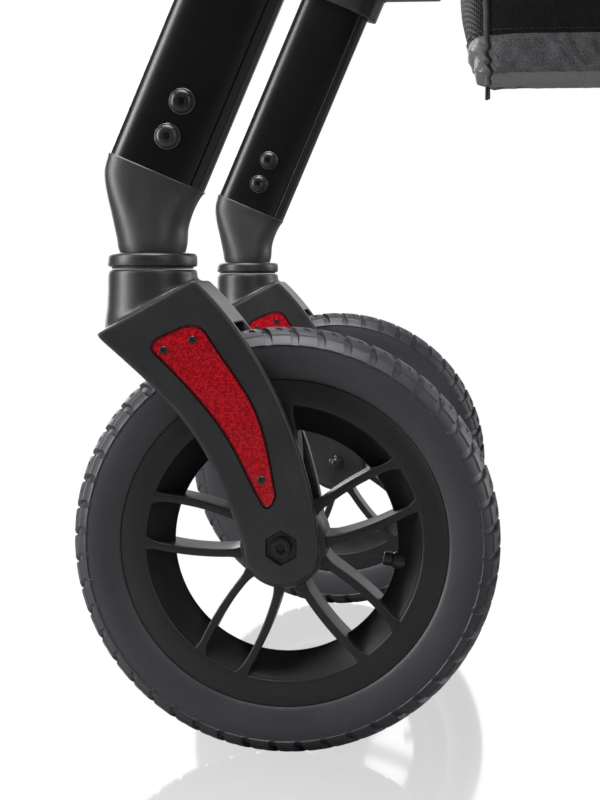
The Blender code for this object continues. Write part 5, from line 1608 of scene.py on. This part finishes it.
path = [(on_leg(s), LEG_UP) for s in (0.215, 0.3, 0.4)] + handle_bend()
path.append((on_grip(GRIP_START + GRIP_LONG - 0.008), GRIP_BACK))
bar = tube_shape(*(swept(path, round_line(radius, 40))
                   for radius in (TUBE_RADIUS, TUBE_RADIUS - TUBE_WALL)))
glide = oval(LEG_WIDTH - 0.0056, LEG_THICKNESS - 0.0056, LEG_SQUARE, 64)
slim = oval(LEG_WIDTH - 0.0080, LEG_THICKNESS - 0.0080, LEG_SQUARE, 64)
foot = skinned([laid(ring, on_leg(s), LEG_BACK) for s, ring in (
    (0.2000, slim), (0.2012, glide), (0.2288, glide), (0.2300, slim))])
both_sides("handle_bar", gathered(bar, foot), "handle", satin_anodised, ["handle_tube"],
           sharp=35)


# ---------------------------------------------------------------- hand grips
# Soft rubber sleeves, swollen in the palm, with rings of fine ribs and a rounded end.

ribs = []
for step in range(133):
    s = GRIP_LONG * step / 132
    swell = GRIP_SWELL * math.sin(math.pi * min(1.0, s / (0.9 * GRIP_LONG))) ** 2
    rib = -GRIP_RIB if 0.014 < s < GRIP_LONG - 0.016 and step % 3 == 0 else 0.0
    ending = max(0.0, (s - GRIP_LONG + 0.009) / 0.009)
    starting = max(0.0, (0.0025 - s) / 0.0025)
    radius = GRIP_RADIUS + swell + rib - 0.0065 * ending ** 2.4 - 0.0016 * starting ** 2
    ribs.append(laid(round_line(radius, 56), on_grip(GRIP_START + s), GRIP_DOWN))
grip_rubber = coated_material(
    "grip_rubber", grey(0.011), grey(0.024), 1300, 0.66, 0.18, 0.06, film=0.05, specks=150,
    Sheen_Weight=0.15)
both_sides("grip_sleeve", skinned(ribs), "handle", grip_rubber, ["hand_grip"], sharp=50)


# ---------------------------------------------------------------- brake housings and levers
# A cast clamp round each handle's tube, with two ears below it, and a forged lever between them that
# the fingers pull up towards the grip.

both_sides("housing_casting", melted(as_drawn("lever_housing_left"), 0.0007, 6), "handle", cast_black,
           ["lever_housing"], sharp=45)


LEVER_HALF = 0.007  # half its width


def lever_shape():
    top = curve((0.018, -0.0315), (0.045, -0.045), (0.085, -0.050), (0.138, -0.0475), 30)
    under = curve((0.132, -0.0575), (0.085, -0.061), (0.045, -0.058), (0.014, -0.0430), 30)
    tip = [(0.1415, -0.0485), (0.1430, -0.0515), (0.1425, -0.0545), (0.1400, -0.0565),
           (0.1365, -0.0575)]
    outline = top + tip + under + [(0.0090, -0.0416), (0.006, -0.0400), (0.006, -0.0325)]
    blade = skinned([[on_grip(s, -h) + OUTWARDS * x for s, h in outline]
                     for x in (-LEVER_HALF, LEVER_HALF)])
    return eased(blade, 0.0026, 4, 50)


lever_black = coated_material(
    "lever_black", grey(0.009, cool=0.06), grey(0.026, cool=0.06), 2100, 0.36, 0.16, 0.03,
    film=0.04, specks=120, Coat_Weight=0.25, Coat_Roughness=0.2)
both_sides("lever_blade", lever_shape(), "lever", lever_black, ["brake_lever"], sharp=40)


# ---------------------------------------------------------------- brake cables
# A bowden cable in a ribbed black jacket for each brake. It leaves the housing, runs down outside the
# side frame, dips under its tube and follows the rear leg to the brake arm, held all the way.

CABLE_POINTS = (
    (0.2800, -0.0635, 0.8575), (0.2805, -0.0790, 0.8490), (0.2830, -0.0870, 0.8200),
    (0.2880, -0.0780, 0.7700), (0.2950, -0.0620, 0.7100), (0.2995, -0.0500, 0.6550),
    (0.2993, -0.0440, 0.6200), (0.2935, -0.0370, 0.5985), (0.2805, -0.0150, 0.5945),
    (0.2800, 0.0250, 0.5940), (0.2800, 0.0560, 0.5860), (0.2800, 0.0740, 0.5650),
    (0.2800, 0.0860, 0.5250), (0.2800, 0.1060, 0.4500), (0.2800, 0.1320, 0.3480),
    tuple(on_rear_leg(-0.0300, 0.1925)))
CABLE_RADIUS, CABLE_RIB = 0.0025, 0.00012


def smooth_line(points, fine=26):
    knots = [Vector(point) for point in points]
    ends = [2 * knots[0] - knots[1]] + knots + [2 * knots[-1] - knots[-2]]
    line = []
    for a, b, c, d in zip(ends, ends[1:], ends[2:], ends[3:]):
        for step in range(fine):
            t = step / fine
            curved = (2 * a - 5 * b + 4 * c - d) * t ** 2 + (3 * b - a - 3 * c + d) * t ** 3
            line.append((2 * b + (c - a) * t + curved) / 2)
    return line + [knots[-1]]


def hose(line, radius, rib):
    rings = []
    for i, point in enumerate(line):
        before, after = line[max(i - 1, 0)], line[min(i + 1, len(line) - 1)]
        along = (after - before).normalized()
        side = along.cross(Vector((0, 0.35, 1))).normalized()
        size = radius - (rib if i % 3 == 0 else 0)
        rings.append(laid(round_line(size, 14), point, side, along.cross(side)))
    return skinned(rings)


cable_jacket = coated_material(
    "cable_jacket", grey(0.008), grey(0.020), 1800, 0.42, 0.15, 0.02, film=0.04, specks=140,
    Coat_Weight=0.15)
route = smooth_line(CABLE_POINTS)
bridge = min(range(len(route)), key=lambda i: abs(route[i].z - 0.660))
upper, lower = route[: bridge + 1], route[bridge:]
for side, word in ((1, "left"), (-1, "right")):
    for part, line in (("upper", upper), ("lower", lower)):
        shape = hose(line, CABLE_RADIUS, CABLE_RIB)
        if side < 0:
            mirrored(shape)
        nodes = [f"brake_cable_{word}"] if part == "upper" else []
        body = f"frame_{word}" if part == "lower" else None  # the upper run spans two bodies, so it is put on neither
        run = finished(f"cable_{part}_{word}", shape, body, cable_jacket, nodes)
        if part == "upper":
            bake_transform(run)
